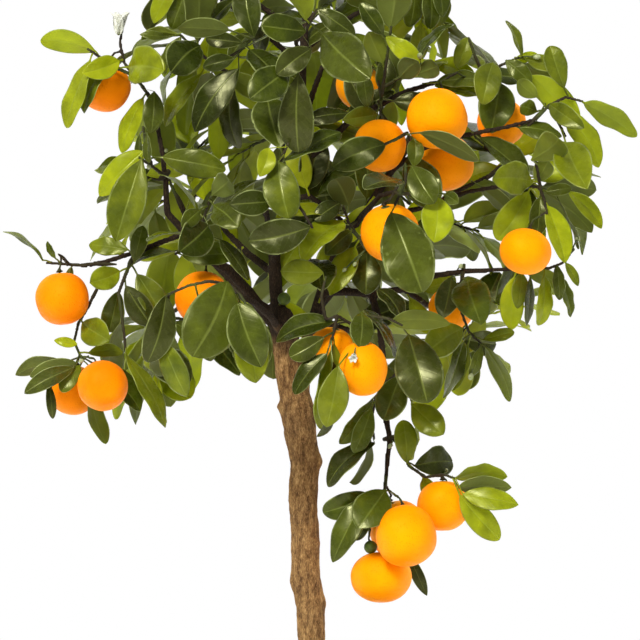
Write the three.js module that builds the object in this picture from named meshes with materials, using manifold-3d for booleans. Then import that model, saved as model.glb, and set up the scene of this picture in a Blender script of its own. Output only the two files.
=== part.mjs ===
// Orange tree grown as a bonsai: a tall bare trunk, a round crown of leafy sprays with small oranges, and a
// stoneware pot. Millimetres, +Z up. The origin is the middle of the pot's foot, on the surface it stands on.
import * as THREE from 'three';
import { mergeVertices } from 'three/addons/utils/BufferGeometryUtils.js';
import Module from 'manifold-3d';

const wasm = await Module();
wasm.setup();

// Driving dimensions
const GAP = 0.3; // between pieces that touch
const EYE_DISTANCE = 3000; // of the viewpoint that the tree is measured from, in front of the trunk
const EYE_HEIGHT = 400;
const SEED = 20;

const POT_RADIUS = 130;
const POT_HEIGHT = 96;
const POT_WALL = 9;
const POT_FLOOR = 10;
const FOOT_RADIUS = 100;
const FOOT_WIDTH = 16;
const FOOT_HEIGHT = 8;
const LIP_WIDTH = 15;
const LIP_HEIGHT = 12;
const DRAIN_RADIUS = 11;
const POT_SEGMENTS = 24;

const SOIL_EDGE = 84; // height of the soil at the pot's wall
const SOIL_TOP = 93; // and at the trunk
const SCREEN_RADIUS = 22;
const SCREEN_THICKNESS = 1.6;
const SCREEN_HOLES = 5;
const SCREEN_HOLE_RADIUS = 3;

const TRUNK_SIDES = 10;
const LIMB_SIDES = [6, 4]; // of the stout limbs and of the slender ones
const STOUT = 3.8; // radius from which a limb is stout
const TWIG_SIDES = 3;
const TWIG_RADIUS = 1.7;
const TWIG_TIP_RADIUS = 1.2;
const STALK_RADIUS = 1.1;
const CALYX_RADIUS = 3.6;
const CALYX_HEIGHT = 2.6;

const FRUIT_SEGMENTS = 8;
const FRUIT_RINGS = 6;

const LEAF_LENGTH = [42, 56];
const LEAF_RATIO = 0.53; // width for length of a blade seen square on
const RIB_THICKNESS = 1.3;
const PETIOLE_LENGTH = 7;
const PETIOLE_TRIES = [7, 12, 4, 17]; // lengths tried for a measured leaf
const STALK_ROOT = 1.1; // from the middle of a leaf stalk's foot to its corners
const LEAST_ROOT_AREA = 0.25;
const MOST_SUNK = 4; // of a leaf's root in its twig
const LEAST_CROSSING = 0.001;
const OWN_SHARE = 0.2; // of a leaf's stalk that may touch its own twig
const TWIG_GAP = 0.6; // from a limb's end to the slanting end of the twig that carries on
const FRUIT_IN_VIEW = 0.55; // of a fruit's width round its middle, kept free of leaves by rule
const LEAF_IN_VIEW = 0.4; // and of a measured leaf's width, to each side of its midrib
const START_INSET = 3; // of a leaf's root from its twig's start and end
const END_INSET = 2;
const GOLDEN_ANGLE = 2.39996;
const CROWN_DEPTH = 162; // of the leaves by rule, to the front and the back
const CROWN_CENTRE = new THREE.Vector3(0, 0, 440);

// Outline of the crown as seen, [x, height], that the leaves by rule keep within
const CROWN_OUTLINE = [
  [-91, 708], [-21, 757], [42, 757], [84, 694], [94, 600], [126, 585], [147, 590], [180, 594], [190, 562],
  [220, 552], [220, 530], [197, 515], [198, 462], [184, 445], [178, 398], [140, 390], [134, 346], [112, 358],
  [92, 330], [106, 296], [96, 250], [10, 244], [4, 276], [20, 322], [-14, 344], [-48, 360], [-74, 364],
  [-91, 342], [-110, 324], [-150, 330], [-208, 342], [-210, 368], [-158, 394], [-164, 442], [-146, 456],
  [-158, 484], [-158, 514], [-140, 520], [-134, 548], [-182, 538], [-182, 568], [-140, 584], [-119, 610],
];

// Trunk: [x, depth, height, radius] up its middle, from its foot in the soil to the fork
const TRUNK = [
  [0, 0, 46, 14],
  [-1, 0, 70, 17],
  [-2, 0, 90, 17.5],
  [-3, 0, 104, 13.5],
  [-4, 0, 130, 11],
  [-6, 0, 176, 9.8],
  [-7, 0, 200, 10],
  [-10, 0, 222, 10.2],
  [-10.5, 0, 250, 10],
  [-12, 0, 275, 10],
  [-10.6, 0, 300, 10.6],
  [-13, 0, 318, 10.8],
  [-15.5, 0, 336, 12.3],
  [-18, 2, 352, 9],
];
const ROOT_LOBES = 5;
const ROOT_LOBE_DEPTH = 0.13; // share of the radius, at the soil

// Limbs: [x, depth, height, radius] as seen from the viewpoint
const LIMBS = {
  leader: [
    [-17, 0, 334, 9], [-23, -1, 352, 6.4], [-24, -1, 368, 6], [-26, 2, 384, 6.2], [-28, 4, 400, 5.8],
    [-31, 8, 422, 5], [-32, 11, 446, 4.6], [-26, 12, 470, 4.3], [-17, 11, 495, 4.1], [-13, 7, 520, 3.8],
    [-13, 4, 552, 3.4], [-12, 0, 586, 3], [-9, 0, 620, 2.6], [-5, 0, 655, 2.1], [-3, 0, 676, 1.8],
  ],
  right_stem: [
    [-14, 2, 334, 8], [-13, 6, 354, 6.2], [-11, 10, 376, 5.5], [-4, 12, 400, 5], [3, 11, 424, 4.5],
    [10, 7, 442, 4.1], [22, 0, 462, 3.6], [38, -9, 485, 3.2], [52, -14, 508, 2.8], [60, -16, 522, 2.4],
  ],
  left_front: [
    [-27, 3, 392, 4.6], [-37, -7, 402, 4.2], [-50, -16, 420, 3.9], [-65, -23, 436, 3.6], [-79, -27, 443, 3.3],
    [-96, -32, 463, 2.9], [-107, -34, 475, 2.5], [-108, -36, 495, 2], [-110, -39, 515, 1.9],
    [-114, -39, 537, 1.8], [-117, -36, 553, 1.6],
  ],
  left_back: [
    [-28, 5, 402, 4.2], [-42, 13, 410, 3.8], [-58, 24, 424, 3.4], [-74, 37, 440, 3], [-88, 51, 460, 2.7],
    [-98, 65, 482, 2.2],
  ],
  left_horizontal: [
    [-94, -32, 461, 2.4], [-112, -36, 454, 2.3], [-130, -41, 447, 2.1], [-150, -46, 441, 1.9],
    [-162, -48, 438, 1.6],
  ],
  upper_left: [[-13, 7, 515, 3.2], [-28, 4, 538, 2.8], [-46, -2, 558, 2.4], [-64, -9, 573, 1.9]],
  crossing: [[-22, 11, 484, 2.8], [-8, 2, 487, 2.5], [8, -11, 476, 2.2], [20, -22, 465, 1.8]],
  right_low: [
    [1, 11, 420, 3.6], [18, 7, 420, 3.3], [38, 2, 418, 3.1], [60, -5, 422, 2.8], [80, -10, 431, 2.5],
    [100, -14, 434, 2.2], [120, -16, 435, 1.9], [136, -17, 436, 1.6],
  ],
  hanging: [
    [36, 2, 418, 3], [42, -7, 398, 2.8], [44, -14, 372, 2.6], [45, -19, 350, 2.5], [46, -23, 332, 2.4],
    [49, -25, 316, 2.2], [47, -25, 300, 2], [46, -24, 288, 1.7],
  ],
  upper_right: [
    [-13, 6, 508, 3.2], [0, 4, 520, 2.9], [12, 0, 531, 2.7], [24, -5, 542, 2.5], [43, -9, 551, 2.4],
    [60, -7, 560, 2.2], [80, -2, 566, 2], [102, 2, 567, 1.7],
  ],
  right_far: [
    [50, -14, 505, 2.4], [74, -16, 521, 2.2], [100, -18, 529, 2], [130, -21, 535, 1.8],
    [150, -21, 540, 1.6],
  ],
  right_middle: [
    [28, -3, 471, 2.6], [52, -2, 474, 2.4], [78, 0, 480, 2.1], [104, -2, 490, 1.9], [130, -7, 494, 1.8],
    [144, -11, 494, 1.6],
  ],
  top_left: [[-11, 0, 596, 2.6], [-30, -7, 612, 2.3], [-54, -11, 628, 2], [-76, -14, 639, 1.7]],
  top_right: [[-10, 0, 608, 2.5], [12, -5, 628, 2.2], [34, -7, 644, 2], [54, -7, 655, 1.7]],
  back_low: [
    [-24, 0, 376, 3.8], [-18, 23, 388, 3.3], [-6, 49, 402, 2.8], [8, 76, 418, 2.3], [16, 92, 430, 1.8],
  ],
  back_left: [[-31, 9, 432, 3.4], [-50, 35, 446, 2.9], [-66, 63, 462, 2.4], [-76, 84, 478, 1.9]],
  back_right: [[2, 11, 424, 3.2], [22, 33, 436, 2.8], [46, 56, 450, 2.3], [66, 76, 464, 1.8]],
  back_middle: [[-16, 10, 498, 3], [-22, 26, 512, 2.4], [-26, 40, 524, 1.8]],
  back_top: [[-13, 4, 535, 3], [-6, 32, 556, 2.6], [2, 58, 578, 2.1], [6, 74, 592, 1.7]],
  back_top_left: [[-12, 0, 578, 2.7], [-36, 28, 598, 2.2], [-56, 49, 614, 1.7]],
  back_top_right: [[-11, 0, 590, 2.6], [18, 26, 610, 2.2], [42, 46, 624, 1.7]],
  back_far_right: [[76, 0, 479, 2.3], [100, 26, 492, 2], [120, 49, 502, 1.6]],
  back_low_left: [[-56, 23, 423, 2.8], [-78, 46, 418, 2.3], [-96, 65, 410, 1.7]],
  back_low_right: [[58, -3, 422, 2.6], [76, 25, 410, 2.2], [90, 48, 400, 1.7]],
  front_low: [[-27, 3, 390, 3.6], [-34, -30, 402, 3.1], [-46, -62, 412, 2.6], [-56, -87, 417, 2]],
  front_middle: [[-31, 10, 440, 3.2], [-34, -21, 458, 2.8], [-38, -55, 476, 2.4], [-39, -82, 491, 1.9]],
  front_right: [[19, 2, 458, 3], [30, -30, 474, 2.6], [42, -62, 487, 2.2], [52, -87, 490, 1.8]],
  front_low_right: [[-4, 12, 400, 3.2], [10, -16, 396, 2.8], [22, -50, 392, 2.4], [28, -73, 389, 1.9]],
  front_top: [[-13, 3, 556, 2.7], [-14, -32, 572, 2.3], [-16, -66, 590, 1.9], [-18, -89, 602, 1.6]],
};

// Fruits: [x, depth, height] of the middle as seen, widest and tallest diameter, direction of the stalk
const FRUITS = {
  fruit_01: [[-150.5, -25, 563], 35, 34, [0.2, -0.3, 1]],
  fruit_02: [[42, -41, 522], 36, 36, [0.1, 0.3, 1]],
  fruit_03: [[82, -48, 541], 42, 41, [0.2, 0.5, 1]],
  fruit_04: [[88, 5, 510], 40, 39, [-0.3, -0.2, 1]],
  fruit_05: [[28, 30, 564], 34, 33, [0.4, -0.6, 0.7]],
  fruit_06: [[127, 12, 538], 34, 33, [-0.4, -0.4, 1]],
  fruit_07: [[-180.5, -66, 415], 37, 36, [-0.1, 0.1, 1]],
  fruit_08: [[-82, -59, 415], 38, 37, [0.1, 0.4, 1]],
  fruit_09: [[49, -71, 461], 40, 39, [-0.2, -0.3, 1]],
  fruit_10: [[92, 5, 408], 32, 31, [0.2, -0.3, 1]],
  fruit_11: [[144, -50, 448], 35.5, 31, [0.2, 0.3, 1]],
  fruit_12: [[-152, -75, 354], 34, 34, [-0.3, 0.5, 0.9]],
  fruit_13: [[-173, -34, 351], 35, 34, [0.2, -0.3, 1]],
  fruit_14: [[30, -109, 366], 33, 37, [-0.15, 0.2, 1]],
  fruit_15: [[8, -71, 379], 31, 31, [0.2, -0.2, 1]],
  fruit_16: [[60, -64, 249], 42.5, 42, [-0.1, 0.4, 1]],
  fruit_17: [[55, -11, 253], 41, 41, [-0.3, -0.1, 1]],
  fruit_18: [[43, -36, 220], 42, 35, [0, 0.2, 1]],
  fruit_19: [[86, -34, 270], 36, 35, [0, 0.1, 1]],
};

// Sprays
// on: the limb whose end the first twig carries on from
// twigs: [x, depth, height] along each
// leaves: [x, height] of the blade's foot and of its tip and the width, as seen, and 1 where it hangs behind
// fruits: the stalk's bends between fruit and twig
// rule: how many leaves each twig gets from the rule, the last value for every further twig
const SPRAYS = {
  spray_far_upper_left: {
    on: 'left_front',
    twigs: [
      [[-127, -38, 567], [-137, -36, 580], [-140, -34, 594], [-138, -32, 606]],
      [[-130, -38, 571], [-144, -43, 577], [-157, -48, 586], [-163, -49, 590]],
    ],
    leaves: [
      [-157, 588, -195, 597, 15], [-141, 581, -166, 573, 16], [-134, 577, -110, 575, 28],
      [-150, 577, -166, 545, 12],
      [-161, 582, -179, 535, 13], [-124, 555, -139, 517, 13], [-116, 560, -118, 531, 15],
    ],
    fruits: { fruit_01: [[-144, -35, 587]] },
    rule: [2],
  },
  spray_left_stem: {
    twigs: [
      [[-109, -38, 501], [-118, -49, 508], [-127, -55, 514]],
      [[-118, -49, 508], [-122, -52, 522], [-124, -54, 536]],
    ],
    leaves: [
      [-125, 513, -143, 455, 26], [-124, 518, -155, 487, 20, 1], [-110, 514, -66, 505, 20],
      [-121, 531, -120, 510, 6], [-126, 530, -127, 512, 5, 1],
    ],
    rule: [0, 1],
  },
  spray_far_left: {
    on: 'left_horizontal',
    twigs: [
      [[-176, -50, 439], [-192, -52, 440]],
      [[-176, -50, 439], [-180, -62, 444], [-183, -68, 446]],
    ],
    leaves: [
      [-194, 442, -221, 463, 4], [-185, 443, -191, 455, 5], [-174, 437, -178, 424, 6, 1],
    ],
    fruits: { fruit_07: [[-182, -66, 437]] },
    rule: [0],
  },
  spray_lower_left: {
    twigs: [
      [
        [-150, -46, 441], [-156, -49, 422], [-162, -50, 410], [-169, -52, 398], [-172, -55, 385],
        [-167, -55, 373],
      ],
    ],
    leaves: [
      [-170, 370, -203, 361, 14], [-172, 367, -207, 349, 12], [-178, 370, -213, 363, 11, 1],
      [-170, 383, -186, 386, 7],
      [-166, 398, -148, 386, 20], [-162, 377, -138, 378, 10],
      [-160, 370, -125, 337, 14, 1],
      [-160, 366, -151, 313, 7, 1],
    ],
    fruits: { fruit_12: [[-158, -64, 373]], fruit_13: [[-170, -46, 371]] },
    rule: [2],
  },
  spray_left_under: {
    twigs: [
      [
        [-130, -41, 447], [-136, -48, 432], [-141, -52, 419], [-139, -55, 405], [-137, -55, 390],
        [-136, -55, 377],
      ],
    ],
    leaves: [
      [-141, 420, -148, 391, 16], [-128, 432, -110, 402, 19], [-136, 424, -118, 396, 18],
      [-140, 434, -161, 426, 17], [-130, 440, -124, 466, 12], [-136, 375, -106, 326, 14],
    ],
    rule: [2],
  },
  spray_front_low_left: {
    on: 'front_low',
    twigs: [
      [[-64, -96, 425], [-78, -101, 427], [-92, -103, 424], [-106, -100, 418]],
      [[-106, -100, 418], [-110, -98, 402], [-112, -96, 387]],
      [[-64, -96, 425], [-56, -105, 418], [-50, -112, 408]],
    ],
    leaves: [
      [-65, 427, -88, 376, 38], [-84, 410, -77, 371, 16, 1], [-56, 412, -42, 366, 30],
      [-54, 396, -45, 356, 24, 1],
      [-108, 417, -120, 370, 20], [-111, 386, -94, 346, 17],
    ],
    rule: [3, 2, 1],
  },
  spray_left_centre: {
    twigs: [
      [[-78, -27, 443], [-83, -43, 452], [-84, -57, 463], [-80, -66, 475], [-76, -71, 487]],
      [[-83, -43, 452], [-93, -50, 450], [-102, -55, 446]],
    ],
    leaves: [
      [-96, 445, -55, 446, 17], [-78, 466, -97, 449, 26], [-74, 480, -58, 466, 21], [-84, 477, -96, 466, 12],
      [-76, 487, -62, 499, 18], [-70, 456, -50, 428, 11],
    ],
    fruits: { fruit_08: [[-80, -48, 444]] },
    rule: [5],
  },
  spray_centre_left: {
    on: 'front_middle',
    twigs: [
      [[-34, -93, 502], [-27, -103, 513], [-22, -107, 524]],
      [[-34, -93, 502], [-22, -106, 489], [-12, -112, 476], [-5, -114, 464]],
    ],
    leaves: [
      [-34, 483, -63, 481, 18], [-29, 511, -22, 472, 25], [-7, 465, -50, 455, 24], [-36, 520, -42, 501, 13],
    ],
    rule: [3, 3],
  },
  spray_front_low_right: {
    on: 'front_low_right',
    twigs: [
      [[22, -84, 397], [12, -91, 403], [4, -91, 400]],
      [[22, -84, 397], [34, -98, 403], [48, -103, 401], [58, -103, 396]],
      [[4, -91, 400], [1, -91, 416], [4, -91, 431]],
      [[12, -91, 403], [10, -98, 393], [8, -100, 385]],
    ],
    leaves: [
      [3, 388, -21, 374, 16], [5, 376, -18, 348, 14], [10, 384, 2, 323, 22], [29, 406, 28, 382, 17],
      [2, 433, -27, 434, 18], [50, 399, 91, 398, 14], [8, 372, 0, 318, 10, 1],
    ],
    fruits: { fruit_14: [[26, -100, 392]], fruit_15: [[14, -80, 398]] },
    rule: [2, 2, 2],
  },
  spray_front_top: {
    on: 'front_top',
    twigs: [
      [[-17, -100, 594], [-14, -107, 584], [-14, -111, 575]],
      [[-17, -100, 594], [-8, -107, 606], [-2, -112, 618]],
    ],
    leaves: [
      [-10, 602, -41, 606, 20], [-6, 590, -30, 572, 18], [-24, 574, -48, 556, 25], [-15, 573, -15, 517, 25],
      [-2, 618, 25, 599, 14], [2, 600, 33, 571, 31],
    ],
    rule: [1, 3],
  },
  spray_upper_left: {
    on: 'upper_left',
    twigs: [
      [[-76, -18, 580], [-88, -25, 590], [-98, -27, 600]],
      [[-76, -18, 580], [-64, -32, 584], [-54, -41, 590], [-47, -46, 598]],
    ],
    leaves: [
      [-57, 576, -88, 532, 22], [-83, 572, -110, 537, 14], [-62, 566, -58, 520, 16],
      [-84, 592, -104, 574, 26],
      [-60, 583, -82, 577, 12], [-54, 594, -80, 597, 12], [-97, 598, -110, 572, 10],
      [-100, 600, -125, 598, 7],
      [-64, 603, -100, 605, 12], [-46, 598, -52, 636, 20], [-67, 562, -72, 512, 18, 1],
    ],
    rule: [4],
  },
  spray_top_left: {
    on: 'top_left',
    twigs: [
      [[-88, -18, 643], [-102, -21, 643]],
      [[-88, -18, 643], [-84, -18, 658], [-74, -16, 672]],
    ],
    leaves: [[-100, 638, -117, 608, 14], [-92, 638, -104, 604, 17]],
    rule: [5, 6],
  },
  spray_upper_right: {
    twigs: [
      [[42, -9, 550], [44, -23, 563], [46, -32, 577], [48, -36, 592], [50, -39, 606]],
      [[44, -23, 563], [58, -27, 571], [72, -30, 577]],
    ],
    leaves: [
      [30, 573, 33, 549, 12], [40, 544, 17, 540, 15], [52, 553, 78, 550, 15], [56, 570, 70, 582, 16],
      [68, 572, 84, 578, 14], [44, 580, 34, 602, 16], [46, 598, 70, 580, 14], [49, 604, 52, 634, 25],
      [44, 600, 28, 622, 13], [76, 577, 80, 594, 5],
    ],
    fruits: { fruit_02: [[42, -21, 545]], fruit_05: [[40, 4, 574]] },
    rule: [3],
  },
  spray_right_fruit: {
    on: 'right_stem',
    twigs: [
      [[63, -34, 527], [61, -50, 531]],
      [[61, -50, 531], [54, -66, 527], [45, -71, 523]],
    ],
    leaves: [
      [70, 531, 112, 512, 12], [66, 527, 66, 508, 12], [46, 523, 8, 507, 22], [62, 514, 80, 480, 27],
    ],
    fruits: { fruit_04: [[80, -5, 534], [71, -21, 530]] },
    rule: [3],
  },
  spray_right_top: {
    on: 'upper_right',
    twigs: [
      [[114, -5, 572], [128, -9, 579], [140, -11, 584]],
      [[114, -5, 572], [108, -11, 586], [104, -16, 598]],
    ],
    leaves: [
      [121, 580, 114, 552, 20], [126, 566, 120, 532, 26], [141, 584, 131, 610, 7], [96, 576, 104, 598, 13],
      [130, 582, 148, 566, 13], [134, 580, 152, 586, 7], [148, 571, 183, 538, 18],
    ],
    fruits: { fruit_03: [[84, -27, 567], [96, -11, 573]], fruit_06: [[118, 4, 558]] },
    rule: [2],
  },
  spray_far_right: {
    on: 'right_far',
    twigs: [
      [[160, -25, 550], [172, -28, 556], [184, -31, 553]],
      [[160, -25, 550], [166, -34, 540], [172, -39, 528]],
    ],
    leaves: [
      [171, 562, 161, 592, 16], [161, 551, 184, 535, 14], [152, 556, 138, 568, 12], [185, 552, 222, 529, 16],
      [172, 546, 197, 508, 18], [172, 524, 187, 492, 26], [152, 546, 140, 550, 12, 1],
      [158, 552, 166, 556, 12, 1],
    ],
    rule: [2, 1],
  },
  spray_right_middle: {
    on: 'right_middle',
    twigs: [
      [[154, -17, 493], [166, -21, 491], [174, -23, 490]],
      [[154, -17, 493], [152, -27, 506], [150, -32, 516]],
      [[154, -17, 493], [157, -30, 484], [159, -36, 474]],
    ],
    leaves: [
      [151, 496, 160, 512, 14], [158, 490, 176, 492, 9], [174, 490, 198, 465, 11], [148, 512, 168, 528, 22],
      [154, 486, 152, 458, 14, 1], [159, 480, 172, 440, 16], [148, 497, 122, 499, 24],
      [146, 490, 124, 456, 23, 1],
      [142, 500, 113, 486, 17, 1],
    ],
    fruits: { fruit_11: [[149, -41, 470]] },
    rule: [2],
  },
  spray_right_low: {
    on: 'right_low',
    twigs: [
      [[148, -23, 438], [160, -27, 436], [170, -30, 440], [178, -32, 450]],
    ],
    leaves: [
      [172, 440, 181, 424, 7], [166, 438, 168, 414, 9], [157, 432, 155, 396, 11], [147, 430, 145, 396, 9],
      [141, 433, 138, 408, 12], [136, 430, 134, 393, 17], [168, 430, 176, 402, 8, 1],
    ],
    rule: [3],
  },
  spray_right_under: {
    twigs: [
      [[100, -14, 434], [99, -27, 421], [99, -34, 406], [104, -36, 392], [113, -38, 383]],
    ],
    leaves: [
      [100, 387, 124, 383, 18, 1], [103, 430, 112, 400, 27], [92, 430, 86, 402, 18], [100, 394, 76, 378, 23],
      [100, 384, 87, 345, 11], [104, 384, 94, 350, 9, 1], [113, 382, 106, 360, 8], [116, 381, 135, 344, 11],
      [114, 386, 136, 392, 9, 1],
    ],
    fruits: { fruit_10: [[98, -16, 426]] },
    rule: [3],
  },
  spray_front_right: {
    on: 'front_right',
    twigs: [
      [[56, -103, 488], [52, -113, 480]],
      [[56, -103, 488], [70, -109, 489], [82, -112, 489]],
      [[56, -103, 488], [60, -111, 498], [60, -114, 510]],
    ],
    leaves: [
      [50, 475, 71, 420, 36], [82, 486, 80, 456, 23], [64, 508, 80, 482, 20], [88, 488, 97, 482, 9],
    ],
    fruits: { fruit_09: [[48, -84, 484]] },
    rule: [1, 3, 3],
  },
  spray_crossing: {
    on: 'crossing',
    twigs: [
      [[27, -36, 458], [32, -48, 449]],
      [[27, -36, 458], [20, -48, 468], [16, -57, 480]],
    ],
    leaves: [[33, 448, 32, 418, 22], [20, 480, 10, 500, 20], [22, 462, 4, 446, 16], [14, 482, -4, 470, 14]],
    rule: [4, 4],
  },
  spray_low_fruits: {
    on: 'hanging',
    twigs: [
      [[45, -30, 280], [40, -34, 272]],
    ],
    leaves: [
      [34, 278, 2, 265, 18], [30, 274, 8, 231, 20],
      [36, 270, 24, 246, 13, 1],
    ],
    fruits: {
      fruit_16: [[56, -50, 275], [48, -36, 281]],
      fruit_17: [[50, -14, 277]],
      fruit_18: [[34, -30, 246], [36, -31, 262]],
    },
    rule: [0],
  },
  spray_low_side: {
    twigs: [
      [[48, -25, 319], [57, -31, 312], [62, -34, 298], [74, -36, 290], [86, -46, 292], [95, -50, 289]],
    ],
    leaves: [
      [97, 283, 134, 283, 14], [94, 289, 131, 292, 11, 1], [100, 278, 139, 271, 16, 1],
      [98, 277, 126, 246, 18],
      [61, 300, 58, 330, 16], [66, 298, 94, 301, 22, 1], [72, 290, 79, 276, 11, 1],
    ],
    fruits: { fruit_19: [] },
    rule: [0],
  },
  spray_hanging: {
    twigs: [
      [[45, -19, 351], [47, -39, 356], [55, -50, 364], [62, -57, 377], [62, -59, 389]],
      [[47, -39, 356], [39, -46, 346], [36, -46, 330], [38, -46, 316]],
      [[55, -50, 364], [63, -52, 352], [64, -52, 343]],
    ],
    leaves: [
      [62, 390, 75, 343, 33], [56, 361, 45, 331, 22], [64, 341, 86, 320, 20], [37, 345, 14, 313, 12],
      [36, 338, 24, 307, 14], [38, 314, 4, 285, 12],
    ],
    rule: [2, 2, 2],
  },
  spray_crown_tip: {
    on: 'leader',
    twigs: [
      [[-2, -2, 690], [0, -5, 704]],
      [[-2, -2, 690], [-16, -11, 696], [-28, -16, 698]],
    ],
    leaves: [],
    rule: [6, 4],
  },
  spray_top_right: {
    on: 'top_right',
    twigs: [
      [[66, -11, 656], [80, -14, 650]],
      [[66, -11, 656], [60, -16, 670], [52, -16, 682]],
    ],
    leaves: [[66, 646, 64, 605, 13], [76, 644, 78, 604, 14], [80, 648, 86, 612, 13]],
    rule: [4, 6],
  },
  spray_back_low: {
    on: 'back_low',
    twigs: [
      [[18, 107, 428], [16, 123, 420]],
      [[18, 107, 428], [36, 118, 438], [50, 123, 446]],
      [[18, 107, 428], [0, 118, 438], [-14, 125, 444]],
    ],
    leaves: [],
    rule: [6, 6, 5],
  },
  spray_back_left: {
    on: 'back_left',
    twigs: [
      [[-82, 99, 488], [-86, 113, 500]],
      [[-82, 99, 488], [-66, 111, 484], [-50, 118, 484]],
      [[-82, 99, 488], [-104, 102, 484], [-122, 102, 482]],
    ],
    leaves: [],
    rule: [6, 6, 5],
  },
  spray_back_right: {
    on: 'back_right',
    twigs: [
      [[76, 90, 472], [84, 104, 482]],
      [[76, 90, 472], [96, 92, 466], [112, 90, 462]],
      [[76, 90, 472], [62, 106, 482], [50, 116, 492]],
    ],
    leaves: [],
    rule: [6, 6, 5],
  },
  spray_back_middle: {
    on: 'back_middle',
    twigs: [
      [[-28, 46, 530], [-36, 54, 540]],
      [[-28, 46, 530], [-44, 50, 524], [-58, 52, 516]],
      [[-28, 46, 530], [-10, 56, 536], [10, 62, 540], [28, 66, 548]],
    ],
    leaves: [],
    rule: [6, 6, 8],
  },
  spray_back_top: {
    on: 'back_top',
    twigs: [
      [[10, 86, 602], [14, 99, 616]],
      [[10, 86, 602], [24, 99, 594], [36, 107, 586]],
      [[10, 86, 602], [-8, 100, 594], [-24, 109, 586]],
    ],
    leaves: [],
    rule: [6, 6, 5],
  },
  spray_back_far_left: {
    on: 'left_back',
    twigs: [
      [[-106, 74, 498], [-112, 81, 516]],
      [[-106, 74, 498], [-124, 69, 500], [-140, 62, 500]],
      [[-106, 74, 498], [-92, 86, 512], [-80, 95, 526]],
    ],
    leaves: [],
    rule: [6, 6, 5],
  },
  spray_back_top_left: {
    on: 'back_top_left',
    twigs: [
      [[-68, 58, 624], [-80, 65, 632]],
      [[-68, 58, 624], [-78, 67, 608], [-86, 74, 594]],
      [[-68, 58, 624], [-54, 65, 636], [-42, 70, 648]],
    ],
    leaves: [],
    rule: [6, 6, 5],
  },
  spray_back_top_right: {
    on: 'back_top_right',
    twigs: [
      [[54, 55, 632], [66, 62, 638]],
      [[54, 55, 632], [70, 63, 616], [82, 70, 604]],
      [[54, 55, 632], [42, 56, 650], [32, 56, 666]],
    ],
    leaves: [],
    rule: [6, 6, 5],
  },
  spray_back_far_right: {
    on: 'back_far_right',
    twigs: [
      [[128, 62, 510], [136, 74, 520]],
      [[128, 62, 510], [142, 53, 500], [154, 46, 492]],
      [[128, 62, 510], [112, 74, 524], [98, 83, 538]],
    ],
    leaves: [],
    rule: [6, 6, 5],
  },
  spray_back_low_left: {
    on: 'back_low_left',
    twigs: [
      [[-108, 76, 402], [-120, 84, 394]],
      [[-108, 76, 402], [-112, 65, 388], [-114, 56, 374]],
      [[-108, 76, 402], [-92, 92, 400], [-78, 102, 398]],
    ],
    leaves: [],
    rule: [6, 6, 5],
  },
  spray_back_low_right: {
    on: 'back_low_right',
    twigs: [
      [[100, 56, 392], [110, 65, 384]],
      [[100, 56, 392], [86, 72, 390], [74, 84, 386]],
      [[100, 56, 392], [114, 49, 402], [128, 42, 412]],
    ],
    leaves: [],
    rule: [6, 6, 5],
  },
};

const COLOURS = {
  leaf: 0x44611f,
  wood: 0x84603c,
  fruit: 0xf59a1c,
  soil: 0x4a3628,
  pot: 0x5a4636,
  screen: 0x2c2c2c,
};

const FRONT = new THREE.Vector3(0, -1, 0);
const UP = new THREE.Vector3(0, 0, 1);

// A point that is seen at (x, height) of the trunk's plane, and lies the given depth behind that plane
function seen(x, depth, height) {
  const scale = 1 + depth / EYE_DISTANCE;
  return new THREE.Vector3(x * scale, depth, EYE_HEIGHT + (height - EYE_HEIGHT) * scale);
}

// Where a point is seen, in the trunk's plane
function sight(point) {
  const scale = 1 + point.y / EYE_DISTANCE;
  return new THREE.Vector3(point.x / scale, 0, EYE_HEIGHT + (point.z - EYE_HEIGHT) / scale);
}

// Seeded random numbers from 0 to 1
function randomFrom(seed) {
  let state = seed >>> 0;
  return () => {
    state = (state + 0x6d2b79f5) >>> 0;
    let t = state;
    t = Math.imul(t ^ (t >>> 15), t | 1);
    t ^= t + Math.imul(t ^ (t >>> 7), t | 61);
    return ((t ^ (t >>> 14)) >>> 0) / 4294967296;
  };
}

// Solids
function solidOf(geometry) {
  const bare = geometry.clone();
  bare.deleteAttribute('normal');
  bare.deleteAttribute('uv');
  const merged = mergeVertices(bare, 1e-4);
  return new wasm.Manifold(new wasm.Mesh({
    numProp: 3,
    vertProperties: merged.attributes.position.array,
    triVerts: new Uint32Array(merged.index.array),
  }));
}

function geometryOf(solid) {
  const mesh = solid.getMesh();
  const positions = new Float32Array(mesh.numVert * 3);
  for (let i = 0; i < mesh.numVert; i++) {
    positions.set(mesh.vertProperties.subarray(i * mesh.numProp, i * mesh.numProp + 3), i * 3);
  }
  return new THREE.BufferGeometry()
    .setAttribute('position', new THREE.BufferAttribute(positions, 3))
    .setIndex(new THREE.BufferAttribute(new Uint32Array(mesh.triVerts), 1));
}

function geometryFrom(points, triangles) {
  const positions = new Float32Array(points.flatMap((p) => [p.x, p.y, p.z]));
  return new THREE.BufferGeometry()
    .setAttribute('position', new THREE.BufferAttribute(positions, 3))
    .setIndex(triangles);
}

function largestBody(solid) {
  return solid.decompose().reduce((a, b) => (b.volume() > a.volume() ? b : a));
}

function boxOf(solid) {
  const { min, max } = solid.boundingBox();
  return new THREE.Box3(new THREE.Vector3(...min), new THREE.Vector3(...max));
}

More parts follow.
